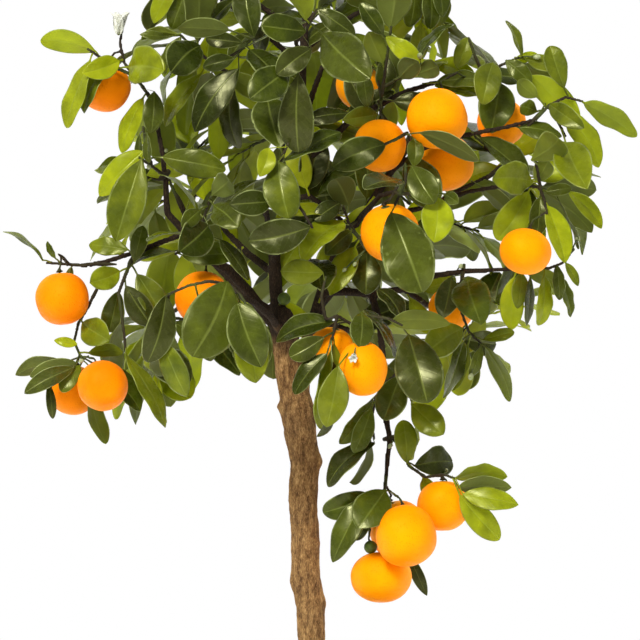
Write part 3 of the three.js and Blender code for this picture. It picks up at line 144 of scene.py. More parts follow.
class Look:
    """A node material under construction."""

    def __init__(self, name):
        self.material = bpy.data.materials.new(name)
        self.material.use_nodes = True
        self.tree = self.material.node_tree
        self.tree.nodes.clear()

    def add(self, kind, inputs=None, **settings):
        node = self.tree.nodes.new(kind)
        for key, value in settings.items():
            setattr(node, key, value)
        for key, value in (inputs or {}).items():
            if isinstance(value, bpy.types.NodeSocket):
                self.tree.links.new(value, node.inputs[key])
            else:
                node.inputs[key].default_value = value
        return node

    def math(self, operation, *values):
        return self.add("ShaderNodeMath", dict(enumerate(values)), operation=operation).outputs[0]

    def times(self, a, b):
        return self.math("MULTIPLY", a, b)

    def plus(self, a, b):
        return self.math("ADD", a, b)

    def minus(self, a, b):
        return self.math("SUBTRACT", a, b)

    def mix(self, factor, a, b):
        return self.add("ShaderNodeMix", {0: factor, 6: a, 7: b}, data_type="RGBA").outputs[2]

    def ramp(self, factor, stops):
        node = self.add("ShaderNodeValToRGB", {0: factor})
        elements = node.color_ramp.elements
        while len(elements) < len(stops):
            elements.new(0.5)
        for element, (place, colour) in zip(elements, stops):
            element.position = place
            element.color = (*colour, 1)
        return node.outputs[0]

    def range(self, value, low, high, to_low=0.0, to_high=1.0):
        inputs = {0: value, 1: low, 2: high, 3: to_low, 4: to_high}
        return self.add("ShaderNodeMapRange", inputs, clamp=True).outputs[0]

    def place(self, stretch=(1, 1, 1)):
        coordinates = self.add("ShaderNodeTexCoord").outputs["Object"]
        return self.add("ShaderNodeMapping", {"Vector": coordinates, "Scale": stretch}).outputs[0]

    def noise(self, vector, scale, detail=3.0, roughness=0.55):
        inputs = {"Vector": vector, "Scale": scale, "Detail": detail, "Roughness": roughness}
        return self.add("ShaderNodeTexNoise", inputs).outputs["Fac"]

    def cells(self, vector, scale):
        return self.add("ShaderNodeTexVoronoi", {"Vector": vector, "Scale": scale}).outputs["Distance"]

    def attribute(self, name):
        source = self.add("ShaderNodeAttribute", attribute_name=name, attribute_type="GEOMETRY")
        return self.add("ShaderNodeSeparateXYZ", {0: source.outputs["Vector"]}).outputs

    def bump(self, height, strength, distance):
        inputs = {"Height": height, "Strength": strength, "Distance": distance}
        return self.add("ShaderNodeBump", inputs).outputs[0]

    def surface(self, colour, roughness, normal, specular, tint=(1, 1, 1)):
        inputs = {"Base Color": colour, "Roughness": roughness, "Normal": normal,
                  "Specular IOR Level": specular, "Specular Tint": (*tint, 1)}
        return self.add("ShaderNodeBsdfPrincipled", inputs).outputs[0]

    def done(self, shader):
        self.add("ShaderNodeOutputMaterial", {0: shader})
        return self.material


def leaf_look():
    look = Look("leaf")
    along, across, upper = look.attribute("leaf_place")
    tone, hue, _ = look.attribute("leaf_tone")
    away = look.math("ABSOLUTE", across)
    cloud = look.noise(look.place(), 75.0, 4.0)
    # The tone sets each leaf from near black to light yellow-green: its own colour together with painted
    # shade and painted backlight
    shade = look.plus(tone, look.times(look.minus(cloud, 0.5), 0.55))
    top = look.ramp(shade, [
        (0.0, (0.006, 0.009, 0.001)), (0.22, (0.020, 0.030, 0.002)), (0.45, (0.068, 0.090, 0.005)),
        (0.66, (0.190, 0.220, 0.007)), (0.86, (0.390, 0.440, 0.009)), (1.0, (0.580, 0.620, 0.016)),
    ])
    top = look.mix(look.times(hue, 0.25), top, (0.075, 0.072, 0.014, 1))
    under = look.mix(0.42, top, (0.150, 0.180, 0.034, 1))
    bend = look.times(away, look.plus(look.times(away, 0.8), 1.3))
    lines = look.math("FRACT", look.minus(look.times(along, 9.0), bend))
    line = look.range(look.math("ABSOLUTE", look.minus(lines, 0.5)), 0.41, 0.5)
    line = look.times(line, look.range(away, 0.95, 0.70))
    rib = look.range(away, 0.075, 0.025)
    vein = look.math("MAXIMUM", rib, look.times(line, 0.24))
    colour = look.mix(look.range(upper, 0.45, 0.55), under, top)
    pale = look.mix(0.5, colour, (0.360, 0.420, 0.080, 1))
    colour = look.mix(look.times(vein, 0.40), colour, pale)
    # Painted highlight: a pale yellow-green line along each leaf's margin, patchy with the noise
    rim = look.times(look.range(away, 0.90, 0.97), look.range(cloud, 0.36, 0.62, 0.12, 0.75))
    colour = look.mix(rim, colour, (0.460, 0.520, 0.180, 1))
    fine = look.cells(look.place(), 900.0)
    height = look.minus(look.times(fine, 0.08), look.times(vein, 0.9))
    normal = look.bump(height, 0.25, 0.0005)
    gloss = look.range(look.noise(look.place(), 170.0), 0.35, 0.75, 0.20, 0.38)
    rough = look.plus(gloss, look.range(upper, 0.55, 0.45, 0.0, 0.25))
    shader = look.surface(colour, rough, normal, 0.34, (1.0, 1.0, 0.50))
    glow = look.mix(0.5, colour, (0.520, 0.600, 0.008, 1))
    through = look.add("ShaderNodeBsdfTranslucent", {"Color": glow, "Normal": normal}).outputs[0]
    share = look.range(tone, 0.25, 0.95, 0.16, 0.52)
    return look.done(look.add("ShaderNodeMixShader", {0: share, 1: shader, 2: through}).outputs[0])


def twig_look():
    look = Look("twig")
    cloud = look.noise(look.place(), 45.0)
    streaks = look.noise(look.place((1, 1, 0.35)), 420.0)
    colour = look.ramp(cloud, [
        (0.34, (0.022, 0.013, 0.006)), (0.52, (0.036, 0.030, 0.010)), (0.70, (0.066, 0.092, 0.014)),
    ])
    colour = look.mix(look.times(streaks, 0.45), colour, (0.012, 0.008, 0.004, 1))
    rough = look.range(streaks, 0.3, 0.7, 0.6, 0.85)
    return look.done(look.surface(colour, rough, look.bump(streaks, 0.4, 0.0005), 0.2))


def bark_look():
    look = Look("bark")
    fissure = look.noise(look.place((1, 1, 0.35)), 1300.0, 4.0, 0.66)
    plates = look.noise(look.place((1, 1, 0.30)), 380.0, 4.0)
    patches = look.noise(look.place((1, 1, 0.6)), 30.0, 2.0)
    specks = look.cells(look.place((1, 1, 0.55)), 700.0)
    relief, limb_bark_and_shade, _ = look.attribute("bark_relief_and_shade")
    depth = look.plus(look.times(fissure, 0.70), look.times(relief, 0.30))
    colour = look.ramp(depth, [
        (0.36, (0.070, 0.033, 0.012)), (0.46, (0.165, 0.086, 0.029)), (0.55, (0.260, 0.145, 0.050)),
        (0.68, (0.460, 0.285, 0.115)),
    ])
    colour = look.mix(look.range(plates, 0.50, 0.74, 0.0, 0.3), colour, (0.080, 0.040, 0.016, 1))
    colour = look.mix(look.range(patches, 0.50, 0.72, 0.0, 0.3), colour, (0.110, 0.062, 0.028, 1))
    colour = look.mix(look.range(specks, 0.16, 0.06, 0.0, 0.45), colour, (0.520, 0.350, 0.170, 1))
    # The limbs and the collar under the crown are near black: partly their own darker bark, partly painted
    # shade
    dark_bark_and_shade = look.ramp(fissure, [
        (0.35, (0.008, 0.005, 0.003)), (0.55, (0.026, 0.016, 0.008)), (0.75, (0.070, 0.045, 0.022)),
    ])
    colour = look.mix(limb_bark_and_shade, colour, dark_bark_and_shade)
    height = look.plus(fissure, look.times(plates, 0.5))
    rough = look.range(fissure, 0.3, 0.7, 0.95, 0.80)
    return look.done(look.surface(colour, rough, look.bump(height, 0.7, 0.0012), 0.15))


def peel_look():
    look = Look("peel")
    height, gold, _ = look.attribute("peel_place")
    cloud = look.noise(look.place(), 38.0)
    pores = look.cells(look.place(), 620.0)
    colour = look.ramp(look.times(look.plus(cloud, gold), 0.5), [
        (0.20, (0.780, 0.170, 0.0)), (0.50, (0.900, 0.265, 0.0)), (0.80, (0.970, 0.350, 0.0)),
    ])
    dimple = look.range(pores, 0.30, 0.05)
    colour = look.mix(look.times(dimple, 0.4), colour, (0.720, 0.140, 0.0, 1))
    colour = look.mix(look.range(height, 0.86, 1.0, 0.0, 0.4), colour, (0.480, 0.330, 0.010, 1))
    colour = look.mix(look.range(height, -0.988, -0.997), colour, (0.110, 0.060, 0.020, 1))
    bump = look.bump(look.times(dimple, -1.0), 0.5, 0.0005)
    rough = look.range(pores, 0.0, 0.6, 0.70, 0.55)
    return look.done(look.surface(colour, rough, bump, 0.22, (1.0, 0.62, 0.12)))


def speckled_look(name, low, high, scale, rough):
    look = Look(name)
    cloud = look.noise(look.place(), scale)
    colour = look.ramp(cloud, [(0.3, low), (0.7, high)])
    return look.done(look.surface(colour, rough, look.bump(cloud, 0.3, 0.0003), 0.22))


def pot_look():
    look = Look("stoneware")
    cloud = look.noise(look.place(), 14.0, 5.0)
    grain = look.noise(look.place(), 900.0, 2.0)
    rings = look.noise(look.place((0.05, 0.05, 1)), 320.0, 2.0)
    colour = look.ramp(cloud, [
        (0.30, (0.060, 0.040, 0.028)), (0.52, (0.105, 0.068, 0.045)), (0.72, (0.165, 0.108, 0.070)),
    ])
    colour = look.mix(look.range(grain, 0.62, 0.70, 0.0, 0.6), colour, (0.020, 0.014, 0.010, 1))
    colour = look.mix(look.range(grain, 0.36, 0.30, 0.0, 0.35), colour, (0.330, 0.260, 0.190, 1))
    height = look.plus(look.times(rings, 0.6), look.times(grain, 0.4))
    rough = look.range(cloud, 0.3, 0.7, 0.82, 0.62)
    return look.done(look.surface(colour, rough, look.bump(height, 0.6, 0.0009), 0.35))


def soil_look():
    look = Look("soil")
    tint = look.noise(look.place(), 120.0, 1.0)
    grain = look.noise(look.place(), 800.0)
    colour = look.ramp(tint, [
        (0.36, (0.030, 0.020, 0.013)), (0.46, (0.085, 0.050, 0.028)), (0.56, (0.170, 0.100, 0.052)),
        (0.66, (0.300, 0.235, 0.165)),
    ])
    colour = look.mix(look.times(grain, 0.5), colour, (0.045, 0.030, 0.020, 1))
    return look.done(look.surface(colour, 0.92, look.bump(grain, 0.8, 0.0008), 0.2))


LEAF = leaf_look()
TWIG = twig_look()
BARK = bark_look()
PEEL = peel_look()
CALYX = speckled_look("calyx", (0.036, 0.050, 0.012), (0.095, 0.115, 0.030), 260.0, 0.65)
BUD = speckled_look("bud", (0.190, 0.240, 0.080), (0.440, 0.460, 0.260), 300.0, 0.6)
# Cream petals greyed towards green: partly their colour, partly painted shade
PETAL = speckled_look("petal", (0.480, 0.490, 0.380), (0.700, 0.700, 0.610), 200.0, 0.6)
FRUITLET = speckled_look("fruitlet", (0.036, 0.062, 0.006), (0.085, 0.125, 0.012), 260.0, 0.5)
SOIL = soil_look()


# Meshes


def linked(name, data):
    """An object of the scene with the given mesh, light or camera."""
    thing = bpy.data.objects.new(name, data)
    bpy.context.scene.collection.objects.link(thing)
    return thing


def set_places(mesh, key, values):
    """Three numbers for each point, which the materials read."""
    attribute = mesh.attributes.new(key, "FLOAT_VECTOR", "POINT")
    attribute.data.foreach_set("vector", np.asarray(values, np.float32).ravel())


def coordinates(mesh, key="co"):
    """The numbers of all points, or of their normals, in one row."""
    values = np.empty(len(mesh.vertices) * 3)
    mesh.vertices.foreach_get(key, values)
    return values


def new_object(name, points, faces, materials, smooth=True, places=None, slots=None):
    mesh = bpy.data.meshes.new(name)
    mesh.from_pydata([tuple(p) for p in points], [], faces)
    for material in materials:
        mesh.materials.append(material)
    for key, values in (places or {}).items():
        set_places(mesh, key, values)
    if slots:
        mesh.polygons.foreach_set("material_index", slots)
    mesh.polygons.foreach_set("use_smooth", [smooth] * len(mesh.polygons))
    mesh.update()
    return linked(name, mesh)


def wear(piece, slot, *nodes):
    """The piece rides on the tree and stands for the nodes. The slot is not used."""
    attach(piece, "root")
    if nodes:
        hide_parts(*nodes)


class Heap:
    """Closed shapes gathered into one mesh."""

    def __init__(self):
        self.points, self.faces, self.slots = [], [], []

    def add(self, shape, slot=0):
        points, faces = shape
        base = len(self.points)
        self.points.extend(points)
        self.faces.extend(tuple(base + v for v in face) for face in faces)
        self.slots.extend([slot] * len(faces))


def node_points(node):
    """Points and triangles of a solid, doubled points joined."""
    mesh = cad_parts[node].data
    mesh.calc_loop_triangles()
    tris = np.empty(len(mesh.loop_triangles) * 3, np.int64)
    mesh.loop_triangles.foreach_get("vertices", tris)
    co = coordinates(mesh).reshape(-1, 3)
    keys = np.round(co * 1e7).astype(np.int64)
    _, first, inverse = np.unique(keys, axis=0, return_index=True, return_inverse=True)
    return [Vector(p) for p in co[first]], inverse.reshape(-1)[tris].reshape(-1, 3).tolist()


def neighbours_of(count, triangles):
    neighbours = [set() for _ in range(count)]
    for a, b, c in triangles:
        neighbours[a] |= {b, c}
        neighbours[b] |= {a, c}
        neighbours[c] |= {a, b}
    return neighbours


def smoothed(name, points, faces, voxel, rounds, outward, material):
    """The closed shape remeshed evenly, smoothed, and grown outward against the shrinking."""
    rough = new_object(name + "_rough", points, faces, [])
    remesh = rough.modifiers.new("remesh", "REMESH")
    remesh.mode = "VOXEL"
    remesh.voxel_size = voxel
    smooth = rough.modifiers.new("smooth", "SMOOTH")
    smooth.factor = 0.5
    smooth.iterations = rounds
    evaluated = rough.evaluated_get(bpy.context.evaluated_depsgraph_get())
    mesh = bpy.data.meshes.new_from_object(evaluated)
    bpy.data.objects.remove(rough)
    mesh.name = name
    grown = coordinates(mesh) + outward * coordinates(mesh, "normal")
    mesh.vertices.foreach_set("co", grown.astype(np.float32))
    mesh.materials.clear()
    mesh.materials.append(material)
    mesh.polygons.foreach_set("use_smooth", [True] * len(mesh.polygons))
    mesh.update()
    return linked(name, mesh)


def spokes(axis, count, across=None):
    """Directions square to an axis, evenly round it."""
    if across is None:
        across = axis.orthogonal().normalized()
    third = axis.cross(across)
    turns = [2 * math.pi * k / count for k in range(count)]
    return [across * math.cos(a) + third * math.sin(a) for a in turns]


def search_tree(places):
    tree = KDTree(len(places))
    for i, place in enumerate(places):
        tree.insert(place, i)
    tree.balance()
    return tree


def loft(rings):
    """A closed shape through rings of equal size."""
    count = len(rings[0])
    faces = []
    for i in range(len(rings) - 1):
        for k in range(count):
            a, b = i * count + k, i * count + (k + 1) % count
            faces.append((a, b, b + count, a + count))
    faces.append(tuple(range(count - 1, -1, -1)))
    faces.append(tuple((len(rings) - 1) * count + k for k in range(count)))
    return [p for ring in rings for p in ring], faces


# A leaf's petiole runs from root to foot, and its blade from foot to tip
Leaf = namedtuple("Leaf", "root foot tip axis side above length width arch")

# Leaves of the solids: between foot and tip each has two rings, and a ring is two edges and a rib

RING_SPAN = 0.4  # of the length, from one ring to the other
RING_ARCH = 0.84  # of the arch, at the lower ring
RING_WIDTH = 0.93  # of the width, at the lower ring


def leaves_of(points, triangles):
    """Each leaf of a spray's solid as point numbers: tip, upper ring, lower ring, foot."""
    neighbours = neighbours_of(len(points), triangles)

    def behind(ring, before):
        return set().union(*(neighbours[v] for v in ring)) - before - ring

    found = []
    for tip, near in enumerate(neighbours):
        if len(near) != 3 or not all(len(neighbours[v] & near) == 2 for v in near):
            continue
        first = behind(near, {tip})
        if len(first) == 3 and all(len(neighbours[v] & first) == 2 for v in first):
            found.append((tip, near, first, behind(first, near)))
    return found


def edges_and_rib(ring):
    """The two edges and the midrib of a ring of three. The edges are the furthest apart."""
    a, b, c = ring
    return max([(a, b, c), (b, c, a), (c, a, b)], key=lambda turn: (turn[0] - turn[1]).length)


def frame_of(points, leaf):
    """A solid leaf's root, foot and tip, its directions, its width and how far it arches."""
    tip, near, first, foot_ring = leaf
    left, right, rib = edges_and_rib([points[v] for v in first])
    left2, right2, _ = edges_and_rib([points[v] for v in near])
    tip = points[tip].copy()
    span = (left2 + right2) / 2 - (left + right) / 2
    axis = span.normalized()
    length = span.length / RING_SPAN
    foot = tip - axis * length
    side = right - left
    side = (side - axis * side.dot(axis)).normalized()
    above = side.cross(axis)
    if above.dot(rib - (left + right) / 2) < 0:
        above, side = -above, -side
    root = sum((points[v] for v in foot_ring), Vector()) / len(foot_ring)
    width = (right - left).length / RING_WIDTH
    arch = ((rib - foot).dot(above) - RIB_THICKNESS) / RING_ARCH
    return Leaf(root, foot, tip, axis, side, above, length, width, arch)


# Fine leaves

ALONG = [
    0, 0.02, 0.05, 0.09, 0.14, 0.20, 0.27, 0.35, 0.43, 0.51, 0.59, 0.67, 0.75, 0.82, 0.88, 0.93, 0.965,
    0.988, 1,
]
ACROSS = [-1.0, -0.88, -0.64, -0.36, -0.1, 0.0, 0.1, 0.36, 0.64, 0.88, 1.0]
BLADE_THICKNESS = 0.32 * MM
PETIOLE_RADIUS = 0.65 * MM


def leaf_draws():
    """What makes one leaf's form its own."""
    return {
        "foot_bow": rng.uniform(0.62, 0.92),
        "tip_bow": rng.uniform(0.52, 0.78),
        "fold": rng.uniform(0.02, 0.36),
        "hollow": rng.uniform(0.0, 0.20),
        "wave": rng.uniform(0.02, 0.10),
        "waves": rng.uniform(1.6, 3.0),
        "phase": rng.uniform(0, 2 * math.pi),
        "curl": rng.uniform(0.05, 0.42),
        "swing": rng.uniform(-0.15, 0.15),
        "twist": rng.uniform(-0.42, 0.42),
    }


def fine_leaf(leaf, draws):
    """A closed leaf, petiole and blade, with each point's place: along, across, and 1 on the upper face."""
    root, foot, _, axis, side, above, *_ = leaf
    half = leaf.width / 2
    p, q = draws["foot_bow"], draws["tip_bow"]
    widest = p / (p + q)
    greatest = widest**p * (1 - widest) ** q
    rings, places = [], []

    def ring(middle, across, up, width, thickness, t, blade):
        points = []
        for sign, stations in ((1, ACROSS), (-1, ACROSS[-2:0:-1])):
            for s in stations:
                body = sign * thickness / 2 * (1 - s * s) ** (0.25 if blade else 0.5)
                lift = 0.0
                if blade:
                    turn = 2 * math.pi * draws["waves"] * t + draws["phase"] + (1.1 if s > 0 else 0)
                    edge = draws["wave"] * half * math.sin(turn) - draws["hollow"] * width
                    lift = draws["fold"] * abs(s) * width + edge * s * s
                    keel = (0.6 if sign < 0 else 0.2) * MM * (1 - t) * math.exp(-((s / 0.1) ** 2))
                    lift -= keel * min(1, 8 * t)
                points.append(middle + across * (s * width) + up * (body + lift))
                places.append((t, s, 0.5 + 0.5 * sign * (abs(s) < 1)))
        rings.append(points)

    reach = (foot - root).normalized()
    petiole = [
        (root - reach * 0.8 * MM, 1.3),
        (root.lerp(foot, 0.15), 1.1),
        (root.lerp(foot, 0.55) + UP * 0.3 * MM, 1.0),
    ]
    for middle, swell in petiole:
        ring(middle, side, above, PETIOLE_RADIUS * swell, 1.8 * PETIOLE_RADIUS * swell, -0.05, False)
    for t in ALONG:
        arch = 4 * t * (1 - t) * leaf.arch - draws["curl"] * leaf.length * max(0.0, t - 0.55) ** 2
        middle = foot + axis * (leaf.length * t) + above * arch
        middle += side * (draws["swing"] * half * math.sin(math.pi * t))
        turn = draws["twist"] * (t - 0.3)
        across = side * math.cos(turn) + above * math.sin(turn)
        up = above * math.cos(turn) - side * math.sin(turn)
        width = max(half * t**p * (1 - t) ** q / greatest, PETIOLE_RADIUS * (1 - 0.7 * t))
        stalk = max(0.0, 1 - t / 0.10) ** 1.5
        thickness = BLADE_THICKNESS + (1.6 * PETIOLE_RADIUS - BLADE_THICKNESS) * stalk
        ring(middle, across, up, width, thickness, t, True)
    points, faces = loft(rings)
    return points, faces, places


def way(value, start, end):
    """How far a value has come on its way from start to end, from 0 to 1."""
    return min(1.0, max(0.0, (value - start) / (end - start)))


def tone_of(leaf):
    """How light a leaf is: as measured where a measured one lies, and otherwise by chance.

    The measured tones hold painted shade and painted backlight as well as the leaves' own colour.
    Light leaves are more common inside the crown, there as painted backlight, at its sides and low down.
    """
    x, y, z = leaf.foot
    sides = 0.16 * way(x, 0.05, 0.11) + 0.07 * way(x, -0.05, -0.10) + 0.18 * way(z, 0.36, 0.32)
    usual = rng.gauss(USUAL_TONE + sides, 0.17)
    # Inside the crown light leaves are more likely: painted backlight for leaves lit through from behind
    inside = way(y, 0.0, 0.02) * way(y, 0.13, 0.09)
    is_light = rng.random() < 0.14 + 0.46 * inside
    foot, tip = sight(leaf.foot), sight(leaf.tip)

    def miss(row):
        return (foot - Vector(row[0:2])).length + (tip - Vector(row[2:4])).length

    near = min(TONES, key=miss)
    if y < 0.03 and miss(near) < TONE_REACH:
        return near[4] + 0.15 * (usual - USUAL_TONE)
    return rng.uniform(0.6, 1.0) if is_light else min(1.0, max(0.05, usual))


class Foliage(Heap):
    """The leaves of one piece, and what new leaves have to stay clear of."""

    skins = []

    def __init__(self):
        super().__init__()
        self.places, self.tones = [], []

    @staticmethod
    def skin(leaf, grow=0.0):
        """A leaf's simple outline with its bounds."""
        half = leaf.width / 2 + grow
        rows = []
        for t, share in ((-0.05, 0.1), (0.25, 0.85), (0.5, 1.0), (0.75, 0.85), (1.02, 0.1)):
            arch = 4 * t * (1 - t) * leaf.arch
            middle = leaf.foot + leaf.axis * (leaf.length * t) + leaf.above * arch
            rows.append([middle + leaf.side * (k * share * half) for k in (-1, 0, 1)])
        points, faces = [p for row in rows for p in row], []
        for i in range(len(rows) - 1):
            for k in (0, 1):
                a = 3 * i + k
                faces.append((a, a + 1, a + 4, a + 3))
        centre = leaf.foot.lerp(leaf.tip, 0.5)
        return centre, leaf.length / 2 + half, BVHTree.FromPolygons(points, faces)

    def grow(self, leaf, tone):
        points, faces, places = fine_leaf(leaf, leaf_draws())
        self.add((points, faces))
        self.places.extend(places)
        self.tones.extend([(tone, rng.random(), 0)] * len(points))
        Foliage.skins.append(Foliage.skin(leaf))

    def piece(self, name):
        places = {"leaf_place": self.places, "leaf_tone": self.tones}
        return new_object(name, self.points, self.faces, [LEAF], places=places)


def build_sprays():
    """The fine stems and leaves of every spray. Gives the stems' points and the leaves."""
    stems, known = [], []
    for node in SPRAYS:
        points, triangles = node_points(node)
        leaves = leaves_of(points, triangles)
        leafy = set()
        for tip, near, first, _ in leaves:
            leafy |= {tip} | near | first
        shape = bmesh.new()
        kept = [t for t in triangles if not leafy & set(t)]
        made = {v: shape.verts.new(points[v]) for v in sorted({v for t in kept for v in t})}
        for t in kept:
            shape.faces.new([made[v] for v in t])
        bmesh.ops.holes_fill(shape, edges=[e for e in shape.edges if e.is_boundary], sides=0)
        bmesh.ops.recalc_face_normals(shape, faces=shape.faces[:])
        shape.verts.index_update()
        corners = [v.co.copy() for v in shape.verts]
        faces = [tuple(v.index for v in f.verts) for f in shape.faces]
        shape.free()
        stem = smoothed(node.replace("spray", "stems"), corners, faces, 0.75 * MM, 3, 0.28 * MM, TWIG)
        stems.extend(v.co.copy() for v in stem.data.vertices)
        wear(stem, "bark")
        foliage = Foliage()
        for leaf in leaves:
            form = frame_of(points, leaf)
            foliage.grow(form, tone_of(form))
            known.append(form)
        wear(foliage.piece(node.replace("spray", "leaves")), "leaf", node)
    return stems, known


# Trunk and limbs

# Knots and knobs of the trunk: angle round it from the right, towards the back, in degrees, then
# height, size and reach in millimetres
KNOTS = [
    (182, 339, 2.6, 3), (5, 301, 2.2, 5), (-60, 322, 2.0, 6), (178, 217, 1.6, 5), (0, 203, 1.8, 6),
    (-110, 262, 1.6, 5), (-40, 244, 1.5, 5), (90, 280, 2.4, 6), (60, 190, 2.0, 6), (-90, 150, 2.2, 7),
    (200, 160, 1.8, 6), (150, 318, 1.8, 5),
]
TRUNK_SLICE = 4 * MM  # height of the slices that give the trunk's middle
LIMB_BARK_AND_SHADE_SPAN = 0.024  # over which the bark turns to the limbs' darker bark and painted shade
LOWEST_ANCHOR = 0.41  # above which leaves may grow from a limb

# The swollen collar from which the limbs part: middle and radius at each height, in millimetres
COLLAR = [
    (-16, 1, 334, 10.5), (-19, 2, 350, 9.8), (-22, 3, 362, 9.3), (-23, 3, 376, 9.3), (-25, 3, 388, 10.3),
    (-26, 3, 400, 9.0), (-26, 3, 408, 5.0),
]


def build_wood():
    """The trunk and limbs with bark relief and knots. Gives the points of the limbs in the crown."""
    heap = Heap()
    heap.add(node_points("trunk_and_limbs"))
    heap.add(tube([Vector(row[:3]) * MM for row in COLLAR], [row[3] * MM for row in COLLAR], 16))
    wood = smoothed("wood", heap.points, heap.faces, 1.3 * MM, 5, 0.30 * MM, BARK)
    mesh = wood.data
    middles = {}
    for p in (v.co for v in mesh.vertices if v.co.z < FORK_HEIGHT):
        if math.hypot(p.x - TRUNK_X, p.y) < TRUNK_REACH:
            middles.setdefault(round(p.z / TRUNK_SLICE), []).append(p.copy())
    middles = {key: sum(ring, Vector()) / len(ring) for key, ring in middles.items()}
    knots = []
    for degrees, height, size, reach in KNOTS:
        angle = math.radians(degrees)
        knots.append((Vector((math.cos(angle), math.sin(angle), 0)), height, size, reach))
    relief, grown, limbs = [], [], []
    for p, n in [(v.co.copy(), v.normal.copy()) for v in mesh.vertices]:
        fissure = noise.fractal(Vector((p.x * 420, p.y * 420, p.z * 120)), 0.9, 2.1, 4)
        knobs = noise.noise(Vector((p.x * 90, p.y * 90, p.z * 45)))
        is_trunk = p.z < FOOT_HEIGHT or math.hypot(p.x - TRUNK_X, p.y) < TRUNK_REACH
        stout = min(1.0, max(0.15, (0.40 - p.z) / 0.06)) if is_trunk else 0.15
        # Above this height the trunk, and all of each limb, takes the darker bark with painted shade
        rise = (p.z + 14 * MM * knobs - LIMB_BARK_AND_SHADE_HEIGHT) / LIMB_BARK_AND_SHADE_SPAN
        limb_bark_and_shade = min(1.0, max(0.0, rise)) if is_trunk else 1.0
        lift = stout * (0.55 * fissure + 0.6 * knobs) * MM
        middle = middles.get(round(p.z / TRUNK_SLICE))
        if middle and is_trunk:
            out = Vector((p.x - middle.x, p.y - middle.y, 0)).normalized()
            for toward, height, size, reach in knots:
                off = Vector(((out - toward).length * 10, (p.z / MM - height)))
                lift += size * MM * math.exp(-((off.length / reach) ** 2))
        relief.append((0.5 + 0.5 * fissure, limb_bark_and_shade, 0))
        grown.append(p + n * lift)
        if p.z > LOWEST_ANCHOR:
            limbs.append(p)
    mesh.vertices.foreach_set("co", np.asarray(grown, np.float32).ravel())
    set_places(mesh, "bark_relief_and_shade", relief)
    mesh.update()
    wear(wood, "bark", "trunk_and_limbs")
    return limbs


# Fruits

REDDER_GOLD, GOLDEN = 0.1, 0.6  # how golden the peel is: the fruits to the left are redder and darker


def pole_faces(rings, sides):
    """Faces of a closed shape whose points are a pole, rings of equal size, and the other pole."""
    faces = []
    last = 1 + rings * sides
    for k in range(sides):
        n = (k + 1) % sides
        faces.append((0, 1 + k, 1 + n))
        faces.append((last, last - sides + n, last - sides + k))
        for a in range(1, last - sides, sides):
            b = a + sides
            faces.append((a + k, b + k, b + n, a + n))
    return faces


def turned_shape(profile, sides, centre, axis, wobble=0.0, salt=0.0):
    """A closed shape turned about an axis, from (radius, height) at the upper pole to the lower one."""
    around = spokes(axis, sides)
    points = [centre + axis * profile[0][1]]
    for radius, height in profile[1:-1]:
        for out in around:
            swell = 1 + wobble * noise.noise(out * 1.3 + axis * (height * 60) + Vector((salt, 0, 0)))
            points.append(centre + axis * height + out * (radius * swell))
    points.append(centre + axis * profile[-1][1])
    return points, pole_faces(len(profile) - 2, sides)


def fruit_profile(wide, tall, steps):
    """Radius and height from the stalk's dimple to the one at the lower end."""
    profile = []
    for i in range(steps + 1):
        angle = math.pi * i / steps
        stalk_dimple = 0.065 * tall * math.exp(-((angle / 0.22) ** 2))
        end_dimple = 0.028 * tall * math.exp(-(((math.pi - angle) / 0.12) ** 2))
        height = tall * math.cos(angle) - stalk_dimple + end_dimple
        profile.append((wide * math.sin(angle) ** 0.90, height))
    return profile


LOBES = 5
STAR_TOP, STAR_BASE = 0.9 * MM, 0.2 * MM
STAR_RINGS = ((STAR_TOP, 0.45), (STAR_TOP, 1.0), (STAR_BASE, 1.0), (STAR_BASE, 0.45))


def calyx_shape(centre, axis, radius):
    """A small star that lies on the fruit round its stalk."""
    count = LOBES * 6
    points = [centre + axis * STAR_TOP]
    for lift, share in STAR_RINGS:
        for k, out in enumerate(spokes(axis, count)):
            angle = 2 * math.pi * k / count
            reach = radius * share * (1 + 0.28 * math.cos(LOBES * angle) * share)
            drop = -0.9 * MM * (reach / radius) ** 2
            points.append(centre + out * reach + axis * (lift * (1 - 0.4 * share) + drop))
    points.append(centre + axis * STAR_BASE)
    return points, pole_faces(len(STAR_RINGS), count)


def build_fruits():
    """Peels and calyxes. Gives the middle and the radius of each fruit."""
    fruits = []
    for node in sorted(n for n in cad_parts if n.startswith("fruit_")):
        points, triangles = node_points(node)
        neighbours = neighbours_of(len(points), triangles)
        poles = [points[v] for v, near in enumerate(neighbours) if len(near) == 8]
        upper, lower = max(poles, key=lambda p: p.z), min(poles, key=lambda p: p.z)
        centre, axis = (upper + lower) / 2, (upper - lower).normalized()
        tall = (upper - lower).length / 2
        wide = max((p - centre - axis * (p - centre).dot(axis)).length for p in points)
        profile = fruit_profile(wide, tall, 34)
        peel_points, faces = turned_shape(profile, 48, centre, axis, 0.055, rng.uniform(0, 50))
        gold = REDDER_GOLD if centre.x < -60 * MM else GOLDEN
        places = [((p - centre).dot(axis) / tall, gold, 0) for p in peel_points]
        peel = new_object(node + "_peel", peel_points, faces, [PEEL], places={"peel_place": places})
        wear(peel, "fruit_peel", node)
        star = calyx_shape(centre + axis * (tall * 0.95), axis, rng.uniform(3.3, 4.0) * MM)
        wear(new_object(node + "_calyx", *star, [CALYX]), "leaf")
        fruits.append((centre, max(wide, tall)))
    return fruits


# More leaves, flowers and young fruits


def grown_leaf(root, foot, tip, width, normal):
    axis = (tip - foot).normalized()
    above = (normal - axis * normal.dot(axis)).normalized()
    length = (tip - foot).length
    arch = rng.uniform(0.02, 0.09) * length
    return Leaf(root, foot, tip, axis, axis.cross(above), above, length, width, arch)


